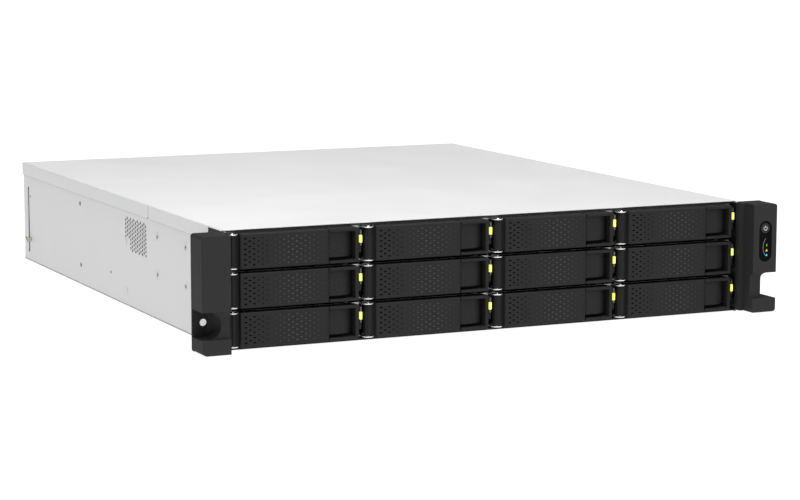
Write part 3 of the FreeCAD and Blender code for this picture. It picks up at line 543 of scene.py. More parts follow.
# ---------------------------------------------------------------- drive bays
# One bay's own frame: x from its left divider's middle, y from the ears' front, z from the tray's foot.
TRAY_HIGH = corners("tray_1_1")[1]
HANDLE_LOW, HANDLE_HIGH = corners("handle_1_1")
BARREL_LEFT = 0.4
FACE = HANDLE_LOW.y - FRONT
FACE_BACK = HANDLE_HIGH.y - FRONT
TALL = HANDLE_HIGH.z - HANDLE_LOW.z
FACE_LEFT = 8.0
FACE_RIGHT = HANDLE_HIGH.x - HANDLE_LOW.x + BARREL_LEFT
GRIP_RIGHT = FACE_RIGHT - 2.6
GRIP_LEFT = GRIP_RIGHT - 20.8
PIN = (3.6, 20.0)
NOSE, NOSE_REACH = (3.3, 20.6), 4.5
WALL = 1.2


def bay_corner(row, column):
    """Where a bay's own frame starts, in the model's frame."""
    low = corners(f"handle_{row}_{column}")[0]
    return (low.x - BARREL_LEFT, FRONT, low.z)


DOT_PITCH = (3.35, 3.83)
DOT_START = (12.0, 3.1)
DOT_COLUMNS = 20
SLOT_HOLES = 3
PALE_FROM, PALE_TO = 6, 19


def dot(column):
    """One column's dots: width, height, depth and the painted highlight on their floor. The first columns
    are slots right through, then they shrink to pits, swell to dimples with painted highlight and fade out
    again."""
    if column < SLOT_HOLES:
        return 2.2 - 0.12 * column, 1.1 - 0.04 * column, None, 0.0
    if column < PALE_FROM:
        return 1.6 - 0.1 * (column - SLOT_HOLES), 0.85, 1.0 - 0.28 * (column - SLOT_HOLES), 0.0
    if column < PALE_TO:
        swell = math.sin(math.pi * (column - PALE_FROM + 0.5) / (PALE_TO - PALE_FROM))
        return 1.0 + 0.4 * swell, 0.6 + 0.2 * swell, 0.12, 0.25 + 0.75 * swell
    return 0.9, 0.7, 0.25, 0.0


def slot_ring(centre, width, height, steps=12):
    """A round-ended slot's outline, level with X."""
    radius = height / 2
    reach = max(width / 2 - radius, 0.0)
    points = []
    for place in range(steps):
        turn = 2 * math.pi * (place + 0.5) / steps
        side = reach if math.cos(turn) > 0 else -reach
        points.append((centre[0] + side + radius * math.cos(turn), centre[1] + radius * math.sin(turn)))
    return points


def ring_faces(form, outer, inner, centre):
    """Faces between two rings of vertices that both go round the centre, in X and Z."""
    def angle_of(vertex):
        return math.atan2(vertex.co.z - centre[1], vertex.co.x - centre[0]) % (2 * math.pi)

    outer, inner = sorted(outer, key=angle_of), sorted(inner, key=angle_of)
    steps = sorted([(angle_of(vertex), 0) for vertex in outer] + [(angle_of(vertex), 1) for vertex in inner])
    places = [len(outer) - 1, len(inner) - 1]
    for _, kind in steps:
        after = (places[kind] + 1) % (len(outer), len(inner))[kind]
        if kind == 0:
            form.face([outer[places[0]], outer[after], inner[places[1]]])
        else:
            form.face([inner[places[1]], outer[places[0]], inner[after]])
        places[kind] = after


def dotted_panel(form, columns, lines, frame_x, frame_z, front, back, chamfer):
    """A flat panel of staggered dots with an edge frame. Every other column is half a pitch up."""
    half = DOT_PITCH[1] / 2
    base = DOT_START[1] - half + lines[0] * DOT_PITCH[1]
    halves = 2 * (lines[1] - lines[0])
    known = {}

    def lattice(column, step, level):
        key = (column, step, level)
        if key not in known:
            x = DOT_START[0] + (column - 0.5) * DOT_PITCH[0]
            known[key] = form.vertex(x, level, base + step * half)
        return known[key]

    for column in range(*columns):
        width, height, depth, pale = dot(column)
        odd = column % 2
        if odd:
            for level in (front, back):
                for low in (0, halves - 1):
                    form.face([lattice(column, low, level), lattice(column + 1, low, level),
                               lattice(column + 1, low + 1, level), lattice(column, low + 1, level)])
        for low in range(odd, halves - odd - 1, 2):
            centre = (DOT_START[0] + column * DOT_PITCH[0], base + (low + 1) * half)
            rims = {}
            for level in (front, back):
                rims[level] = [lattice(column, low, level), lattice(column + 1, low, level),
                               lattice(column + 1, low + 1, level), lattice(column + 1, low + 2, level),
                               lattice(column, low + 2, level), lattice(column, low + 1, level)]
            floor = back if depth is None else front + depth
            outline = slot_ring(centre, width, height)
            mouth = [form.vertex(a, front, b) for a, b in outline]
            deep = [form.vertex(a, floor, b) for a, b in outline]
            ring_faces(form, rims[front], mouth, centre)
            # The dimple walls carry part of the painted highlight, and their floors carry all of it.
            for place in range(len(outline)):
                after = (place + 1) % len(outline)
                form.face([mouth[place], mouth[after], deep[after], deep[place]], lift=pale * 0.6)
            if depth is None:
                ring_faces(form, rims[back], deep, centre)
            else:
                form.face(deep, lift=pale)
                form.face(rims[back])

    first, last = columns
    for level, inset in ((front, chamfer), (back, 0.0)):
        frame = {}
        for side, x in ((0, frame_x[0] + inset), (1, frame_x[1] - inset)):
            for top, z in ((0, frame_z[0] + inset), (1, frame_z[1] - inset)):
                frame[side, top] = form.vertex(x, level, z)
        known[level] = frame
        for side, column in ((0, first), (1, last)):
            run = [lattice(column, step, level) for step in range(halves + 1)]
            form.face([frame[side, 0], *run, frame[side, 1]])
        for top, step in ((0, 0), (1, halves)):
            run = [lattice(column, step, level) for column in range(first, last + 1)]
            form.face([frame[0, top], *run, frame[1, top]])
    rim = {(side, top): form.vertex(frame_x[side], front + chamfer, frame_z[top])
           for side in (0, 1) for top in (0, 1)}
    around = [(0, 0), (1, 0), (1, 1), (0, 1)]
    for place, spot in enumerate(around):
        after = around[(place + 1) % 4]
        for near, far in ((known[front], rim), (rim, known[back])):
            form.face([near[spot], near[after], far[after], far[spot]])
    return form


SCOOP_FROM, SCOOP_DEEP = 88.0, 6.0
BARREL = 3.2


def handle_form():
    """A tray's hinged handle: dotted face, finger recess at the right, ribbed barrel at the left."""
    form = Form()
    dotted_panel(form, (0, DOT_COLUMNS), (0, 6), (FACE_LEFT, GRIP_LEFT - 0.25), (0, TALL), FACE,
                 FACE + WALL, 0.45)
    walls, full = Form(), (0.05, TALL - 0.05)
    walls.block((FACE_LEFT + 0.05, FACE_LEFT + WALL), (FACE + 0.5, FACE_BACK), full)
    walls.block((GRIP_LEFT - WALL, GRIP_LEFT - 0.4), (FACE + 0.8, FACE_BACK), full)
    for low in (0.05, TALL - WALL - 0.05):
        walls.block((FACE_LEFT + 0.1, GRIP_LEFT - 0.6), (FACE + 0.5, FACE_BACK), (low, low + WALL))
    walls.block((FACE_LEFT + WALL, GRIP_LEFT - WALL), (FACE + 5.2, FACE + 6.0), (WALL, TALL - WALL))
    walls.block((GRIP_LEFT, GRIP_RIGHT), (FACE_BACK - 1.0, FACE_BACK - 0.2), (1.6, 6.0))
    form.join(walls)

    # The recess: a frame open to the left seam, its floor level at first and then scooped away.
    lip, head, seam = 2.0, TALL - 2.3, GRIP_LEFT + 0.15
    form.join(Form().prism("y", [
        (seam, 0), (FACE_RIGHT, 0), (FACE_RIGHT, TALL), (seam, TALL),
        (seam, head), (GRIP_RIGHT, head), (GRIP_RIGHT, lip), (seam, lip),
    ], FACE, FACE_BACK).soften(0.45))
    level, inside = FACE + 1.7, (4.6, head + 0.4)
    dotted_panel(form, (DOT_COLUMNS, DOT_COLUMNS + 3), (1, 5), (GRIP_LEFT + 0.2, SCOOP_FROM), inside,
                 level, level + 1.0, 0.0)
    curve = [(SCOOP_FROM + share * (GRIP_RIGHT - SCOOP_FROM + 0.3), level + 0.35 + SCOOP_DEEP * share ** 1.8)
             for share in [step / 12 for step in range(13)]]
    back = [(x, min(y + 1.0, FACE_BACK - 0.1)) for x, y in reversed(curve)]
    form.join(Form().prism("z", curve + back, *inside))

    # The barrel: two shallow ribs down its front, and the arm that carries the face.
    ribs = []
    for place in range(25):
        turn = math.pi * (1.0 - place / 24)
        grip = BARREL - (0.45 if place in (7, 8, 13, 14) else 0.0)
        ribs.append((PIN[0] + grip * math.cos(turn), PIN[1] - grip * math.sin(turn)))
    back_half = [(PIN[0] + BARREL, PIN[1] + 2.2), (PIN[0] - BARREL, PIN[1] + 2.2)]
    form.join(Form().prism("z", ribs + back_half, 1.3, TALL - 1.3).soften(0.12, 1))
    return form.join(Form().block((PIN[0], FACE_LEFT + 0.6), (PIN[1] - 1.4, PIN[1] + 1.8), (1.4, TALL - 1.4)))


def plate_outline():
    """A hinge plate seen from above: a round nose before the barrel, with straight sides to the bulkhead."""
    nose = circle(NOSE, NOSE_REACH, 21, math.pi, math.pi)
    return nose + [(NOSE[0] + NOSE_REACH, PIN[1] + 7.2), (NOSE[0] - NOSE_REACH, PIN[1] + 7.2)]


BULKHEAD = (26.0, 27.5)
RAILS = ((1.35, 2.85), (104.45, 105.95))
AIR_WINDOWS, AIR_WINDOW_WIDE = (13.2, 44.2, 75.2), 24
RAIL_SCREW_HOLES = (44, 86, 104, 146)
RAIL_SLOTS = (60, 120, 160)


def tray_form():
    """A tray's zinc-plated sled: bulkhead with air windows, two flanged rails, hinge plates and pin."""
    sled = Form().block((RAILS[0][0], RAILS[1][1]), BULKHEAD, (0, TALL))
    windows = Form()
    for low in AIR_WINDOWS:
        across = (low, low + AIR_WINDOW_WIDE)
        for line in range(4):
            windows.prism("y", rounded(across, (4.2 + line * 4.6, 7.4 + line * 4.6), 1.4, 4), 24, 29)
    sled.carve(windows)
    for side in RAILS:
        holes, through = Form(), (side[0] - 2, side[1] + 2)
        for depth in RAIL_SCREW_HOLES:
            holes.rod("x", (depth, 8.6), 1.9, *through, 20)
        for depth in RAIL_SLOTS:
            holes.prism("x", rounded((depth, depth + 14), (12, 18), 2, 4), *through)
        sled.join(Form().block(side, (BULKHEAD[0], TRAY_HIGH.y - FRONT), (2, 22)).carve(holes))
    plates, rims = Form(), Form()
    rim = (circle(NOSE, NOSE_REACH + 0.03, 25, math.pi, math.pi)
           + circle(NOSE, NOSE_REACH - 0.3, 25, 2 * math.pi, -math.pi))
    for low in (0.1, TALL - 0.75):
        plates.prism("z", plate_outline(), low, low + 0.65)
        rims.prism("z", rim, low - 0.02, low + 0.67)
    sled.join(plates.soften(0.08), 1).join(rims, 2)
    return sled.join(Form().turned("z", PIN, [
        (0, -0.3), (1.1, -0.3), (1.3, 0), (1.0, 0.2), (1.0, TALL - 0.2), (1.3, TALL), (1.1, TALL + 0.3),
        (0, TALL + 0.3)], 16), 1)


PIPE_X = (102.35, 105.6)
WINDOW_X = (103.2, 105.3)


def pipe_holder_form():
    """The black carrier of a light pipe, with smoked acrylic showing above and below the lit window."""
    form = Form().block((PIPE_X[0], PIPE_X[1] - 0.4), (19.2, 26.0), (6.5, 23.8)).soften(0.25)
    lens, middle = Form(), sum(WINDOW_X) / 2
    for low, high in ((11.5, 13.7), (19.6, 23.2)):
        lens.prism("y", rounded((middle - 0.7, middle + 0.7), (low, high), 0.35, 4), 18.2, 20.0)
    return form.join(lens.soften(0.15), 1)


def pipe_window_form():
    """The lit window of a light pipe: a small clear block with round edges."""
    return Form().prism("y", rounded(WINDOW_X, (13.9, 19.5), 0.3, 4), 18.0, 19.3).soften(0.12)


DRIVE_SIDE_HOLES = (28.5, 69, 105, 118)


def drive_form():
    """A 3.5 inch drive: cast body, stepped steel lid with screws, side holes and its board beneath."""
    low, high = corners("drive_1_1")
    bay = bay_corner(1, 1)
    x = (low.x - bay[0] + 0.1, high.x - bay[0] - 0.1)
    y = (low.y - FRONT, high.y - FRONT)
    z = (low.z - bay[2], high.z - bay[2])
    form = Form().prism("z", rounded(x, y, 3, 5), z[0] + 1.6, z[1] - 1.4).soften(0.5)
    cuts = Form()
    for depth in DRIVE_SIDE_HOLES:
        for side in x:
            cuts.rod("x", (y[0] + depth, z[0] + 6.4), 1.6, side - 3, side + 3, 20)
    cuts.block((sum(x) / 2 - 20.5, sum(x) / 2 + 20.5), (y[1] - 5, y[1] + 1), (4, 12))
    form.carve(cuts)
    lid = Form().prism("z", rounded((x[0] + 1.2, x[1] - 1.2), (y[0] + 1.5, y[1] - 12), 6, 6),
                       z[1] - 1.5, z[1] - 0.5)
    lid.prism("z", rounded((x[0] + 9, x[1] - 9), (y[0] + 22, y[1] - 30), 30, 12), z[1] - 0.6, z[1])
    form.join(lid.soften(0.3), 1)
    screws = Form()
    for spot in [(a, b) for a in (x[0] + 5, x[1] - 5) for b in (y[0] + 6, (y[0] + y[1]) / 2, y[1] - 17)]:
        screws.turned("z", spot, [(0, z[1] - 0.6), (2.1, z[1] - 0.6), (2.1, z[1] - 0.2), (1.6, z[1]),
                                  (0.7, z[1]), (0, z[1] - 0.4)], 18)
    form.join(screws, 2)
    board = Form().prism("z", rounded((x[0] + 4, x[1] - 4), (y[0] + 52, y[1] - 1), 2, 4),
                         z[0] + 0.2, z[0] + 1.7)
    board.block((x[0] + 20, x[0] + 34), (y[0] + 70, y[0] + 84), (z[0], z[0] + 0.4))
    return form.join(board, 3)


def make_bays():
    """Handles, sleds, light pipes and drives of all twelve bays, each mesh made once and shared."""
    kinds = [
        ("handle", "moulding", handle_form(), "handle", [TRAY_BLACK], "black_plastic"),
        ("tray", "sled", tray_form(), "sled", [ZINC, BRIGHT, EDGE], "zinc_steel"),
        ("tray", "light_pipe_holder", pipe_holder_form(), "light_pipe_holder", [TRAY_BLACK, SMOKED],
         "black_plastic"),
        ("tray", "light_pipe_window", pipe_window_form(), "light_pipe_window", [GLOW], None),
        ("drive", "disk", drive_form(), "drive", [CASTING, DRIVE_LID, NICKEL, BOARD], "cast_aluminium"),
    ]
    meshes = [form.finished(name, finishes) for _, _, form, name, finishes, _ in kinds]
    for row, column in BAYS:
        bay = f"{row}_{column}"
        for data, (node, part, _, _, _, slot) in zip(meshes, kinds):
            body = "handle" if node == "handle" else "tray"
            stands_for = [] if "light" in part else [f"{node}_{bay}"]
            piece(f"{node}_{bay}_{part}", data, f"{body}_{bay}", slot, stands_for, bay_corner(row, column))


make_bays()


# ---------------------------------------------------------------- covers and side walls
BASE_HIGH = corners("chassis_base")[1]
LID_LOW, LID_HIGH = corners("front_cover")
REAR_LOW, REAR_HIGH = corners("rear_cover")
WALL_OUT = LID_HIGH.x - 1.15
LID_TOP = LID_HIGH.z
LID_STEEL = 1.0
SKIRT_FOOT = LID_LOW.z
EAR_BACK = corners("ear_left")[1].y
SEAM = (LID_HIGH.y, REAR_LOW.y)
CHASSIS_BACK = REAR_HIGH.y - 9.0


def lid_form(front, back):
    """A folded lid: flat top, two skirts, and bends with about 1 mm outside radius."""
    out, within = LID_HIGH.x, LID_HIGH.x - LID_STEEL
    form = Form()
    outline = [(-out, SKIRT_FOOT)]
    outline += circle((-out + 1.2, LID_TOP - 1.2), 1.2, 6, math.pi, -math.pi / 2)
    outline += circle((out - 1.2, LID_TOP - 1.2), 1.2, 6, math.pi / 2, -math.pi / 2)
    outline += [(out, SKIRT_FOOT), (within, SKIRT_FOOT), (within, LID_TOP - LID_STEEL),
                (-within, LID_TOP - LID_STEEL), (-within, SKIRT_FOOT)]
    form.prism("y", outline, front, back)
    return form.soften(0.35, 2, 60)


THUMB_SCREWS = (-90, 90)


def make_covers():
    """The front cover, the removable rear cover and its two knurled thumb screws."""
    front, rooms = lid_form(LID_LOW.y, SEAM[0]), Form()
    for side in (-1, 1):
        rooms.block(span(side, LID_HIGH.x - 1.4, LID_HIGH.x + 2), (FRONT - 1, EAR_BACK + 0.2),
                    (SKIRT_FOOT - 2, LID_TOP - 1.1))
    lip = Form().block((-WALL_OUT + 1.5, WALL_OUT - 1.5), (LID_LOW.y + 0.05, LID_LOW.y + 1.2),
                       (LID_TOP - 1.9, LID_TOP - 1.45))
    front.carve(rooms).join(lip.soften(0.15))
    front.place("front_cover_sheet", [PAINT], "chassis", "pale_grey_paint", ["front_cover"])

    rear, notches = lid_form(SEAM[1], CHASSIS_BACK), Form()
    flange = Form().block((-100, 100), (CHASSIS_BACK - 0.5, CHASSIS_BACK + 1), (LID_TOP - 9, LID_TOP - 0.3))
    for side in (-1, 1):
        notches.rod("x", (SEAM[1], SKIRT_FOOT), 1.6, *span(side, LID_HIGH.x - 3, LID_HIGH.x + 1), 20)
    rear.join(flange.soften(0.3)).carve(notches)
    rear.place("rear_cover_sheet", [PAINT], "rear_cover", "pale_grey_paint", ["rear_cover"])

    screws, height = Form(), LID_TOP - 5
    for x in THUMB_SCREWS:
        knurl = []
        for place in range(48):
            turn, radius = 2 * math.pi * place / 48, 4.0 if place % 2 else 3.7
            knurl.append((x + radius * math.cos(turn), height + radius * math.sin(turn)))
        screws.join(Form().prism("y", knurl, CHASSIS_BACK + 1.2, CHASSIS_BACK + 8).soften(0.2, 1, 60))
        screws.turned("y", (x, height), [(0, CHASSIS_BACK + 7.6), (2.8, CHASSIS_BACK + 7.6),
                                         (2.5, CHASSIS_BACK + 9), (0, CHASSIS_BACK + 9)], 28)
        screws.carve(Form().block((x - 3, x + 3), (CHASSIS_BACK + 8.2, CHASSIS_BACK + 10),
                                  (LID_TOP - 5.4, LID_TOP - 4.6)))
    piece("rear_cover_thumb_screws", screws.finished("thumb_screws", [NICKEL]), "rear_cover", "screw_steel")


CAGE_SCREWS = [(103.5, 65.1), (168, 65.1), (103.5, 35.6), (168, 35.6)]
RAIL_HOLES = [(367.5, 69.1), (367.5, 16.6)]
DIMPLES = [(245.5, 52.1), (245.5, 11.6)]
STUD_PLACE = (-19.0, 19.5)
# Profiles turned about an axis through the wall: radius, and reach out of the wall's outer face.
SCREW_RING = [(2.55, -0.3), (2.6, 0.05), (3.1, 0.35), (3.7, 0.35), (4.3, -0.1)]
COUNTERSINK = [(2.0, -1.1), (2.9, -0.1), (3.2, 0.12), (3.5, 0.12), (3.7, -0.1)]
DIMPLE = [(0, -0.2), (2.9, -0.2), (2.6, 0.45), (2.0, 0.75), (0, 0.8)]
STUD = [(0, -0.4), (2.6, -0.4), (2.6, 0.3), (1.8, 0.5), (1.8, 3.8), (2.9, 4.0), (3.0, 4.6),
        (2.6, 5.0), (0, 5.0)]
EAR_SCREW = [(0, 0.4), (2.1, 0.4), (2.1, 1.3), (0.9, 1.3), (0, 0.8)]


def on_wall(form, side, depth, height, profile, steps, closed=False):
    """Turns a profile at a place on a side wall."""
    profile = [(radius, side * (WALL_OUT + reach)) for radius, reach in profile]
    return form.turned("x", (depth, height), profile, steps, closed)


def cross_screw(form, side, depth, height, radius):
    """A flat-headed screw with a cross recess, its head flush in the wall."""
    head = on_wall(Form(), side, depth, height, [(0, -1.4), (radius, -1.4), (radius, -0.35),
                                                 (radius - 0.25, -0.15), (0, -0.15)], 24)
    for half_a, half_b in ((0.32, radius * 0.72), (radius * 0.72, 0.32)):
        head.carve(Form().block(span(side, WALL_OUT - 1.05, WALL_OUT + 0.35),
                                (depth - half_a, depth + half_a), (height - half_b, height + half_b)))
    form.join(head)


def make_side_details():
    """What is fixed on or pressed into the side walls: screws in rings, countersinks, studs."""
    screws, presses, studs = Form(), Form(), Form()
    for side in (-1, 1):
        for depth, height in CAGE_SCREWS:
            cross_screw(screws, side, FRONT + depth, height, 2.5)
            on_wall(presses, side, FRONT + depth, height, SCREW_RING, 30, closed=True)
        for depth, height in RAIL_HOLES:
            on_wall(presses, side, FRONT + depth, height, COUNTERSINK, 30, closed=True)
        for depth, height in DIMPLES:
            on_wall(presses, side, FRONT + depth, height, DIMPLE, 28)
        on_wall(studs, side, BASE_HIGH.y + STUD_PLACE[0], STUD_PLACE[1], STUD, 32)
    presses.place("side_pressings", [PAINT], "chassis", "pale_grey_paint")
    screws.place("side_screws", [NICKEL], "chassis", "screw_steel", ["side_screws_and_studs"])
    studs.place("side_studs", [NICKEL], "chassis", "screw_steel")


# ---------------------------------------------------------------- rack ears
EAR_LOW, EAR_HIGH = corners("ear_left")
EAR_OUT = -EAR_LOW.x
EAR_IN = EAR_OUT - 21.8
FLANGE_FRONT = FRONT + 22.5
STEP = FRONT + 12.9
DISH_MIDDLE, DISH_HALF = 22.1, 10.3
DISH_DEEP = 4.2
RACK_HOLE = 2.7
RACK_HOLE_PLACE = (EAR_OUT - 8.75, 21.8)
EAR_SCREW_HEIGHTS = (14, 44, 74)


def ear_block(side):
    """The moulded cover of one ear: round outer corners, a sloped outer edge, a step on the inner side,
    and a cove across its foot that ends in a flat shelf."""
    radii = [0.6, 3.2, 3.2, 0.6] if side > 0 else [3.2, 0.6, 0.6, 3.2]
    outline = rounded(span(side, EAR_IN, EAR_OUT), (EAR_LOW.z, EAR_HIGH.z), radii, 7)
    form, edge = Form().prism("y", outline, FRONT, FLANGE_FRONT), side * EAR_OUT
    form.carve(Form().prism("z", [(edge - side * 0.5, FRONT - 0.01), (edge + side * 2, FRONT - 0.01),
                                  (edge + side * 2, FRONT + 0.6), (edge, FRONT + 0.6)],
                            EAR_LOW.z - 1, EAR_HIGH.z + 1))
    shoulder = Form().block(span(side, WALL_OUT + 0.2, EAR_IN + 1), (STEP, FLANGE_FRONT),
                            (EAR_LOW.z, EAR_HIGH.z))
    trim = Form().block(span(side, WALL_OUT - 1.35, WALL_OUT + 1), (STEP + 0.6, FRONT + 18.9),
                        (EAR_LOW.z + 0.2, EAR_HIGH.z - 0.6))
    form.join(shoulder.soften(0.3)).join(trim.soften(0.2))
    floor, head = DISH_MIDDLE - DISH_HALF, DISH_MIDDLE + DISH_HALF
    cove = [(FRONT + DISH_DEEP * math.sin(turn), head - 6 * (1 - math.cos(turn)))
            for turn in [math.pi / 2 * step / 16 for step in range(17)]]
    outline = [(FRONT - 2, head)] + cove + [(FRONT + DISH_DEEP, floor), (FRONT - 2, floor)]
    return form.carve(Form().prism("x", outline, *span(side, EAR_IN - 0.5, EAR_OUT + 5)))


def ear_bracket(side):
    """The black steel angle behind the cover: a flange with the rack hole, and a side plate with a
    round top rear corner."""
    plate = Form().prism("y", rounded(span(side, WALL_OUT, EAR_OUT), (EAR_LOW.z, EAR_HIGH.z), 2.0, 4),
                         FLANGE_FRONT, FLANGE_FRONT + 1.5)
    plate.carve(Form().rod("y", (side * RACK_HOLE_PLACE[0], RACK_HOLE_PLACE[1]), RACK_HOLE,
                           FLANGE_FRONT - 3, FLANGE_FRONT + 5, 32))
    flank = Form().prism("x", rounded((FLANGE_FRONT, EAR_BACK), (EAR_LOW.z, EAR_HIGH.z), [0, 4, 4, 0], 6),
                         *span(side, WALL_OUT + 0.02, WALL_OUT + 1.5))
    holes = Form()
    for height in EAR_SCREW_HEIGHTS:
        holes.rod("x", (EAR_BACK - 9, height), 2.2, *span(side, WALL_OUT - 2, WALL_OUT + 4), 24)
    form = Form().join(plate).join(flank.carve(holes)).soften(0.25)
    for height in EAR_SCREW_HEIGHTS:
        on_wall(form, side, EAR_BACK - 9, height, EAR_SCREW, 24)
    return form


def arc_band(middle, height, inner, outer, start, sweep, steps=24):
    """A flat arc as an outline, from one angle round by a sweep."""
    outside = circle((middle, height), outer, steps, start, sweep)
    return outside + circle((middle, height), inner, steps, start + sweep, -sweep)


PILL_HALF, PILL_TALL = 5.85, (41.2, 73.7)


def make_left_ear():
    """The left ear, with a round-ended scoop that leaves room for the rack screw."""
    left, inside = ear_block(-1), -EAR_OUT + 15.9
    turn = circle((inside - DISH_HALF, DISH_MIDDLE), DISH_HALF, 25, -math.pi / 2, math.pi)
    open_end = [(-EAR_OUT - 6, DISH_MIDDLE + DISH_HALF), (-EAR_OUT - 6, DISH_MIDDLE - DISH_HALF)]
    left.carve(Form().prism("y", turn + open_end, FRONT - 5, FLANGE_FRONT + 0.01))
    inside -= 0.2
    bend = [(inside - 4.8 + 4.8 * math.cos(turn), FRONT + 9 + 13.4 * math.sin(turn))
            for turn in [math.pi / 2 * step / 12 for step in range(13)]]
    left.join(Form().prism("z", bend + [(inside + 0.5, FRONT + 22.4)], DISH_MIDDLE - DISH_HALF - 0.3,
                           DISH_MIDDLE + DISH_HALF + 0.3))
    left.soften(0.18, 2, 20).join(ear_bracket(-1))
    left.place("ear_left_cover", [EAR_BLACK], "chassis", "black_plastic", ["ear_left"])


def make_right_ear(middle, height):
    """The right ear, with a notch for the rack screw, a pocket for the panel and the button's bore."""
    right, inner = ear_block(1), EAR_OUT - 12.0
    low, high = DISH_MIDDLE - DISH_HALF, DISH_MIDDLE + DISH_HALF
    notch = ([(inner, low), (EAR_OUT + 6, low), (EAR_OUT + 6, high)]
             + circle((inner + 4, high - 4), 4, 8, math.pi / 2, math.pi / 2))
    right.carve(Form().prism("y", notch, FRONT - 5, FLANGE_FRONT + 3))
    right.carve(Form().rod("y", RACK_HOLE_PLACE, 6.4, FLANGE_FRONT - 10, FLANGE_FRONT + 0.01, 40))
    pocket = rounded((middle - PILL_HALF, middle + PILL_HALF), PILL_TALL, 5.84, 14)
    right.carve(Form().prism("y", pocket, FRONT - 1, FRONT + 1.6))
    right.carve(Form().rod("y", (middle, height), 4.35, FRONT - 1, FRONT + 18, 40))
    right.soften(0.18, 2, 20).join(ear_bracket(1))
    right.place("ear_right_cover", [EAR_BLACK], "chassis", "black_plastic", ["ear_right"])


def make_panel(middle, height):
    """The lens, the power button with its printed sign, the guide line and the three status lights."""
    lens = Form().prism("y", rounded((middle - PILL_HALF + 0.12, middle + PILL_HALF - 0.12),
                                     (PILL_TALL[0] + 0.12, PILL_TALL[1] - 0.12), 5.7, 14),
                        FRONT + 0.25, FRONT + 1.5)
    lens.carve(Form().rod("y", (middle, height), 4.3, FRONT - 1, FRONT + 3, 40)).soften(0.25, 2, 40)
    lens.place("control_panel_lens", [GLOSS_BLACK], "chassis", "button_plastic")

    button = Form().turned("y", (middle, height), [
        (0, FRONT + 6), (4.08, FRONT + 6), (4.08, FRONT + 0.5), (3.8, FRONT + 0.2), (2.6, FRONT + 0.32),
        (0, FRONT + 0.42)], 48)
    button.use = 1
    mark = FRONT + 0.16
    sign = arc_band(middle, height, 1.3, 1.75, math.radians(130), math.radians(280))
    button.prism("y", sign, mark, FRONT + 0.9)
    button.block((middle - 0.24, middle + 0.24), (mark, FRONT + 0.9), (height + 0.2, height + 2.0))
    button.place("power_button_cap", [EAR_BLACK, WHITE_INK], "power_button", "button_plastic",
                 ["power_button"])

    lamp = middle + 1.3
    for name, outline, ink in (
        ("panel_guide_line", arc_band(middle - 0.1 + 9.2, 52.8, 10.9, 11.4, math.radians(142),
                                      math.radians(76), 20), GREY_INK),
        ("status_light_slash", [(lamp - 0.6, 53.3), (lamp, 53.3), (lamp + 0.6, 55.2), (lamp, 55.2)],
         GREEN_INK),
        ("status_light_triangle", [(lamp - 1.1, 49.4), (lamp + 1.1, 49.4), (lamp, 51.4)], AMBER_INK),
        ("status_light_drop", circle((lamp, 46.2), 0.7, 12, math.radians(150), math.radians(240))
         + [(lamp, 47.6)], CYAN_INK),
    ):
        Form().prism("y", outline, FRONT + 0.18, FRONT + 0.5).place(name, [ink], "chassis")


def make_ears():
    """Both rack ears and the control panel, lined up on the power button."""
    low, high = corners("power_button")
    middle, height = (low.x + high.x) / 2, (low.z + high.z) / 2
    make_left_ear()
    make_right_ear(middle, height)
    make_panel(middle, height)


# ---------------------------------------------------------------- power supplies
PANEL_TOP = corners("rear_panel")[1].z
BACK = BASE_HIGH.y


FAN_PLACE, FAN_BORE = 21.5, 17.4
GUARD_RINGS = (4.5, 8.7, 12.9, 16.9)
INLET_BLADES = ((53.0, 10.0), (64.0, 10.0), (58.5, 14.5))


def supply_openings(fan, deep, lever_deep, more):
    """What is open at a supply's back: the fan, the inlet, the lever's room and five vents."""
    cuts = Form().rod("y", fan, FAN_BORE, deep, 1, 56)
    cuts.block((46.5 - more, 70.5 + more), (deep, 1), (4 - more, 21 + more))
    cuts.block((61, 71), (lever_deep, 1), (25.5, 36.5))
    for place in range(5):
        cuts.prism("y", rounded((47.5, 59.0), (24.4 + place * 2.6, 25.7 + place * 2.6), 0.6, 4), -3, 1)
    return cuts


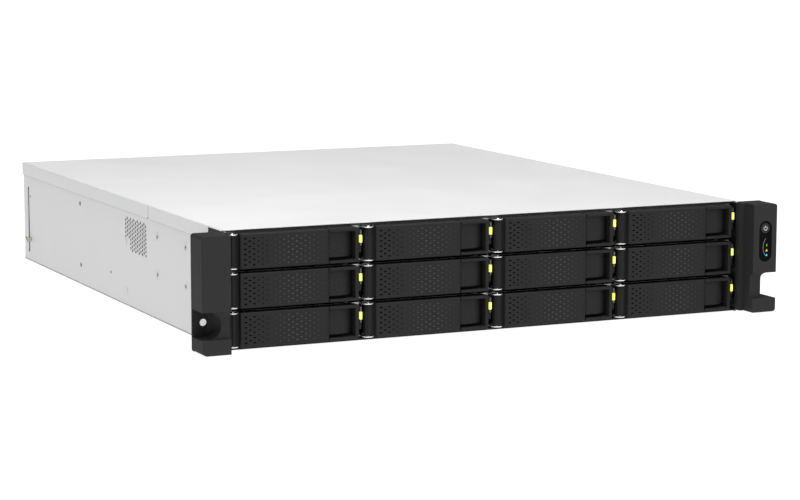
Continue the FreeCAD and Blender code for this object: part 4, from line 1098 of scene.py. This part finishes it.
def supply_form():
    """A plug-in power supply: folded case, fan guard of wire rings, inlet, vents and a bar handle.
    Its own frame starts at the case's lower left rear corner."""
    low, high = corners("supply_1")
    wide, tall = high.x - low.x, high.z - low.z
    fan, outline = (FAN_PLACE, tall / 2), rounded((0.1, wide - 0.1), (0.1, tall - 0.1), 0.8, 4)
    form = Form().prism("y", outline, low.y - BACK, -0.6).carve(supply_openings(fan, -14, -10, 0))
    form.join(Form().prism("y", outline, -0.9, 0.0).carve(supply_openings(fan, -3, -3, 0.4)))

    guard = Form()
    for radius in GUARD_RINGS:
        guard.turned("y", fan, circle((radius, -0.4), 0.55, 8), 48, closed=True)
    for turn in (math.pi / 4, 3 * math.pi / 4):
        bar = Form().rod("x", (0, 0), 0.6, -19.5, 19.5, 8)
        bmesh.ops.rotate(bar.mesh, verts=bar.mesh.verts, matrix=Matrix.Rotation(turn, 3, "Y"))
        guard.join(bar, None, (fan[0], 0.15, fan[1]))
    form.join(guard, 1)

    inlet = Form().prism("y", rounded((46.7, 70.3), (4.2, 20.8), [1, 1, 5, 5], 6), -13.9, 0.6)
    inlet.carve(Form().prism("y", rounded((48.4, 68.6), (5.9, 19.1), [0.6, 0.6, 4, 4], 6), -11.5, 2))
    form.join(inlet.soften(0.3, 2, 50), 2)
    blades = Form()
    for x, z in INLET_BLADES:
        blades.block((x - 1, x + 1), (-12, -3), (z - 2, z + 2))
    form.join(blades.soften(0.3, 1), 1)

    outside = rounded((-1.2, 18), (6, 33.5), [0, 6, 6, 0], 8)
    room = rounded((-1.19, 14.2), (9.8, 29.7), [0, 3, 3, 0], 6)
    form.join(Form().prism("x", outside + room[::-1], 40.3, 44.1).soften(0.6, 2, 50), 3)
    lamp = Form().turned("y", (57.5, 37.2), [(0, -1.5), (1.2, -1.5), (1.2, 0.1), (0.8, 0.4), (0, 0.5)], 20)
    return form.join(lamp, 4)


def make_supplies():
    """Both power supplies, from one shared mesh."""
    data = supply_form().finished("supply", [ZINC, NICKEL, TRAY_BLACK, TRAY_BLACK, GREEN_INK])
    for number in (1, 2):
        low = corners(f"supply_{number}")[0]
        piece(f"supply_{number}_case", data, f"supply_{number}", "supply_steel", [f"supply_{number}"],
              (low.x, BACK, low.z))


# ---------------------------------------------------------------- rear panel
LAN_LEFTS = (-118, -100, -82, -64)
USB_LEFTS = (-34, -18)
BOARD_TOP = 8.8
LAN_SIZE, USB_SIZE = (16, 13.5), (13.4, 15.6)


def port_shell(form, left, size, cavities, depth):
    """A thin drawn shell over a port, with a liner in each plug cavity."""
    face, thick = BACK + 0.55, 0.12
    outline = rounded((left - 0.15, left + size[0] + 0.15), (BOARD_TOP, BOARD_TOP + size[1] + 0.15), 0.5, 4)
    outer, liners = Form().prism("y", outline, BACK - 1.0, face), Form()
    for x, z in cavities:
        across, tall = (left + x[0], left + x[1]), (BOARD_TOP + z[0], BOARD_TOP + z[1])
        outer.carve(Form().block(across, (BACK - 3, face + 1), tall))
        liner = Form().block((across[0] - thick, across[1] + thick), (BACK - depth, face - 0.3),
                             (tall[0] - thick, tall[1] + thick))
        liners.join(liner.carve(Form().block((across[0] + 0.1, across[1] - 0.1),
                                             (BACK - depth + 0.3, face + 1),
                                             (tall[0] + 0.1, tall[1] - 0.1))))
    form.join(outer.soften(0.15, 1, 50)).join(liners)


# How far back from the front, and how high above the foot of a row of trays.
CAGE_SIDE_HOLES = ((22.6, 5.4), (40.0, 12.0))


def make_cage_sides():
    """The side plates of the drive cage against the walls, in dark steel as painted shade, with two
    round holes to a row, and a black strip along the floor's front edge, which is a painted shadow."""
    sides = Form()
    for side in (-1, 1):
        wall, holes = side * (WALL_OUT - 1.25), Form()
        for row in range(3):
            for depth, lift in CAGE_SIDE_HOLES:
                height = corners(f"handle_{row + 1}_1")[0].z + lift
                holes.rod("x", (FRONT + depth, height), 1.9, *sorted((wall - side * 2, wall + side)), 24)
        plate = Form().block(sorted((wall, wall - side * 0.45)), (FRONT + 19.3, FRONT + 60),
                             (1.4, PANEL_TOP - 0.4))
        sides.join(plate.carve(holes))
    sides.place("drive_cage_side_plates", [SHADE_STEEL], "chassis", "zinc_steel")
    # Painted shadow: a black strip where the floor's front edge lies in the trays' shade.
    shadow_strip = Form().block((-WALL_OUT + 1.4, WALL_OUT - 1.4), (FRONT + 20.9, FRONT + 22.1), (0.15, 1.35))
    shadow_strip.soften(0.2).place("front_edge_shadow_strip", [EAR_BLACK], "chassis", "black_plastic")


def make_ports():
    """Network and USB ports: nickel shells, gold contacts, blue tongues and small link lights."""
    lan, usb, contacts, tongues, lights = Form(), Form(), Form(), Form(), Form()
    for left in LAN_LEFTS:
        port_shell(lan, left, LAN_SIZE, [((2.1, 13.9), (2.6, 11.4))], 13.4)
        for place in range(8):
            x = left + 8 - 3.57 + place * 1.02
            contacts.block((x - 0.22, x + 0.22), (BACK - 12.5, BACK - 2.2),
                           (BOARD_TOP + 9.8, BOARD_TOP + 10.3))
        for x in (left + 1.0, left + 12.6):
            lights.block((x, x + 2.4), (BACK - 0.5, BACK + 0.6), (BOARD_TOP + 11.9, BOARD_TOP + 13.0))
    for left in USB_LEFTS:
        port_shell(usb, left, USB_SIZE, [((0.9, 12.5), (1.7, 6.7)), ((0.9, 12.5), (8.9, 13.9))], 11.6)
        for floor in (4.9, 12.1):
            tongues.block((left + 1.6, left + 11.8), (BACK - 11.4, BACK - 1.0),
                          (BOARD_TOP + floor - 0.3, BOARD_TOP + floor + 1.3))
    for name, form, ink in (
        ("network_port_shells", lan, NICKEL), ("usb_port_shells", usb, NICKEL),
        ("network_port_contacts", contacts, GOLD), ("usb_port_tongues", tongues.soften(0.2, 1), BLUE_PLASTIC),
        ("network_port_lights", lights.soften(0.15, 1), GREEN_INK),
    ):
        form.place(name, [ink], "chassis")


SLOT_LEFTS = (-196, -175.7, -155.4)


def make_slot_covers():
    """Perforated blanks over the expansion slots, each with a screw."""
    covers, screws = Form(), Form()
    for left in SLOT_LEFTS:
        holes, (x, z) = Form(), (left + 6.5, 80.5)
        for line in range(13):
            for across in range(3):
                height = 11 + line * 4.7 + (2.35 if across == 1 else 0)
                if height < 71:
                    holes.prism("y", circle((left + 3.0 + across * 3.5, height), 1.35, 6), BACK - 4, BACK + 1)
        blank = Form().block((left + 0.3, left + 12.7), (BACK - 1.5, BACK - 0.35), (5.3, 75.7))
        covers.join(blank.carve(holes))
        screws.turned("y", (x, z), [(0, BACK - 0.2), (2.9, BACK - 0.2), (2.9, BACK + 0.8), (2.2, BACK + 1.6),
                                    (0, BACK + 1.7)], 26)
        for half_a, half_b in ((0.3, 1.7), (1.7, 0.3)):
            screws.carve(Form().block((x - half_a, x + half_a), (BACK + 0.9, BACK + 3),
                                      (z - half_b, z + half_b)))
    covers.place("expansion_slot_blanks", [ZINC], "chassis", "zinc_steel")
    screws.place("expansion_slot_screws", [NICKEL], "chassis", "screw_steel")


# ---------------------------------------------------------------- pieces whose CAD shape is right
KEPT = {
    PAINT: ["chassis_base"],
    ZINC: ["rear_panel", "supply_bay"],
    SHADE_STEEL: ["drive_cage"],
    BOARD: ["backplane", "mainboard", "memory_modules"],
    NYLON: ["fan_wall", "fan_rotor_1", "fan_rotor_2", "fan_rotor_3", "supply_fan_1", "supply_fan_2"],
    LEVER_GREEN: ["supply_lever_1", "supply_lever_2"],
    SINK: ["processor_heatsink"],
}
ROUNDED_EDGES = {
    "fan_rotor_1": 0.3, "fan_rotor_2": 0.3, "fan_rotor_3": 0.3, "supply_fan_1": 0.2, "supply_fan_2": 0.2,
    "supply_lever_1": 0.4, "supply_lever_2": 0.4, "memory_modules": 0.2,
}


def dress_kept_nodes():
    """Gives the kept nodes their finishes, and rounds the edges of the moulded ones."""
    for material, nodes in KEPT.items():
        for node in nodes:
            frame["nodes"][node].data.materials.clear()
            frame["nodes"][node].data.materials.append(material)
    for node, edge in ROUNDED_EDGES.items():
        thing = frame["nodes"][node]
        thing.modifiers.new("weld", "WELD").merge_threshold = 0.005 * MM
        soft = thing.modifiers.new("edges", "BEVEL")
        soft.width, soft.segments, soft.limit_method = edge * MM, 2, "ANGLE"
        soft.angle_limit, soft.harden_normals = math.radians(40), True


make_covers()
make_side_details()
make_ears()
make_supplies()
make_cage_sides()
make_ports()
make_slot_covers()
dress_kept_nodes()


# ---------------------------------------------------------------- floor, light and camera
def make_floor():
    """A wide round floor just under the feet, raised at its far rim."""
    half, rise = 6000, 400
    form = Form().turned("z", (0, 0), [(0, -0.05), (half, -0.05), (half + rise, rise)], 64)
    floor = bpy.data.objects.new("floor", form.finished("floor", [floor_board()]))
    bpy.context.scene.collection.objects.link(floor)


def floor_board():
    """A matt pale studio floor, lit evenly from within so that it shows nearly white, with the faintest
    roller texture."""
    material, tree, where = finish_named("studio_floor", "7a7a7a", 0.9, Specular_IOR_Level=0.1,
                                          Emission_Color=(1.0, 1.0, 1.0, 1.0), Emission_Strength=0.95)
    roller = add(tree, "TexNoise", {"Vector": where, "Scale": per(3)})
    bump = add(tree, "Bump", {"Height": roller, "Strength": 0.05, "Distance": 0.1 * MM})
    return feed(material, Normal=bump)


def area_light(name, spot, target, size, power):
    """A rectangular lamp aimed at a point, all in metres and watts."""
    light = bpy.data.lights.new(name, "AREA")
    light.shape, light.size, light.size_y, light.energy = "RECTANGLE", size[0], size[1], power
    thing = bpy.data.objects.new(name, light)
    bpy.context.scene.collection.objects.link(thing)
    thing.location = spot
    thing.rotation_mode = "QUATERNION"
    thing.rotation_quaternion = (Vector(target) - Vector(spot)).to_track_quat("-Z", "Y")


SKY = 0.5
SUN_POWER = 2.1
SUN_FROM = (0.22, -0.3, 0.92)


def make_light():
    """A white room that dims towards the back and the left, one broad soft sun, and a lamp over the lid."""
    world = bpy.data.worlds.new("studio")
    world.use_nodes = True
    tree = world.node_tree
    where = add(tree, "SeparateXYZ", {"Vector": add(tree, "TexCoord")}).node.outputs
    behind = add(tree, "MapRange", {"Value": where["Y"], "From Min": 0.0, "From Max": 0.8,
                                    "To Min": 1.0, "To Max": 0.2})
    beside = add(tree, "MapRange", {"Value": where["X"], "From Min": -0.9, "From Max": 0.0,
                                    "To Min": 0.5, "To Max": 1.0})
    level = add(tree, "Math", {0: behind, 1: beside}, operation="MULTIPLY")
    strength = add(tree, "Math", {0: level, 1: SKY}, operation="MULTIPLY")
    tree.nodes["Background"].inputs["Color"].default_value = (1.0, 1.0, 1.0, 1.0)
    tree.links.new(strength, tree.nodes["Background"].inputs["Strength"])
    bpy.context.scene.world = world
    sun = bpy.data.objects.new("soft_sun", bpy.data.lights.new("soft_sun", "SUN"))
    sun.data.energy, sun.data.angle = SUN_POWER, math.radians(75)
    sun.rotation_mode = "QUATERNION"
    sun.rotation_quaternion = Vector(SUN_FROM).to_track_quat("Z", "Y")
    bpy.context.scene.collection.objects.link(sun)
    area_light("lid_glow", (-0.25, -0.45, 0.95), (-0.2, -0.25, 0.09), (0.2, 0.2), 4.3)
    bpy.context.scene.view_settings.view_transform = "Standard"


CAMERA_SPOT = (-0.8319, -1.8957, 0.3208)
CAMERA_YAW, CAMERA_PITCH, CAMERA_ROLL = 0.43146, 0.14039, -0.00094
CAMERA_LENS = 110.2


def make_camera():
    """The camera, set by its place, yaw, pitch and roll."""
    camera = bpy.data.objects.new("camera", bpy.data.cameras.new("camera"))
    bpy.context.scene.collection.objects.link(camera)
    camera.data.sensor_width = 36
    camera.data.lens = CAMERA_LENS
    camera.data.clip_start, camera.data.clip_end = 0.05, 60
    camera.location = CAMERA_SPOT
    camera.rotation_mode = "QUATERNION"
    level = math.cos(CAMERA_PITCH)
    ahead = Vector((math.sin(CAMERA_YAW) * level, math.cos(CAMERA_YAW) * level, -math.sin(CAMERA_PITCH)))
    camera.rotation_quaternion = (Matrix.Rotation(CAMERA_ROLL, 3, ahead)
                                  @ ahead.to_track_quat("-Z", "Y").to_matrix()).to_quaternion()
    bpy.context.scene.camera = camera


make_floor()
make_light()
make_camera()
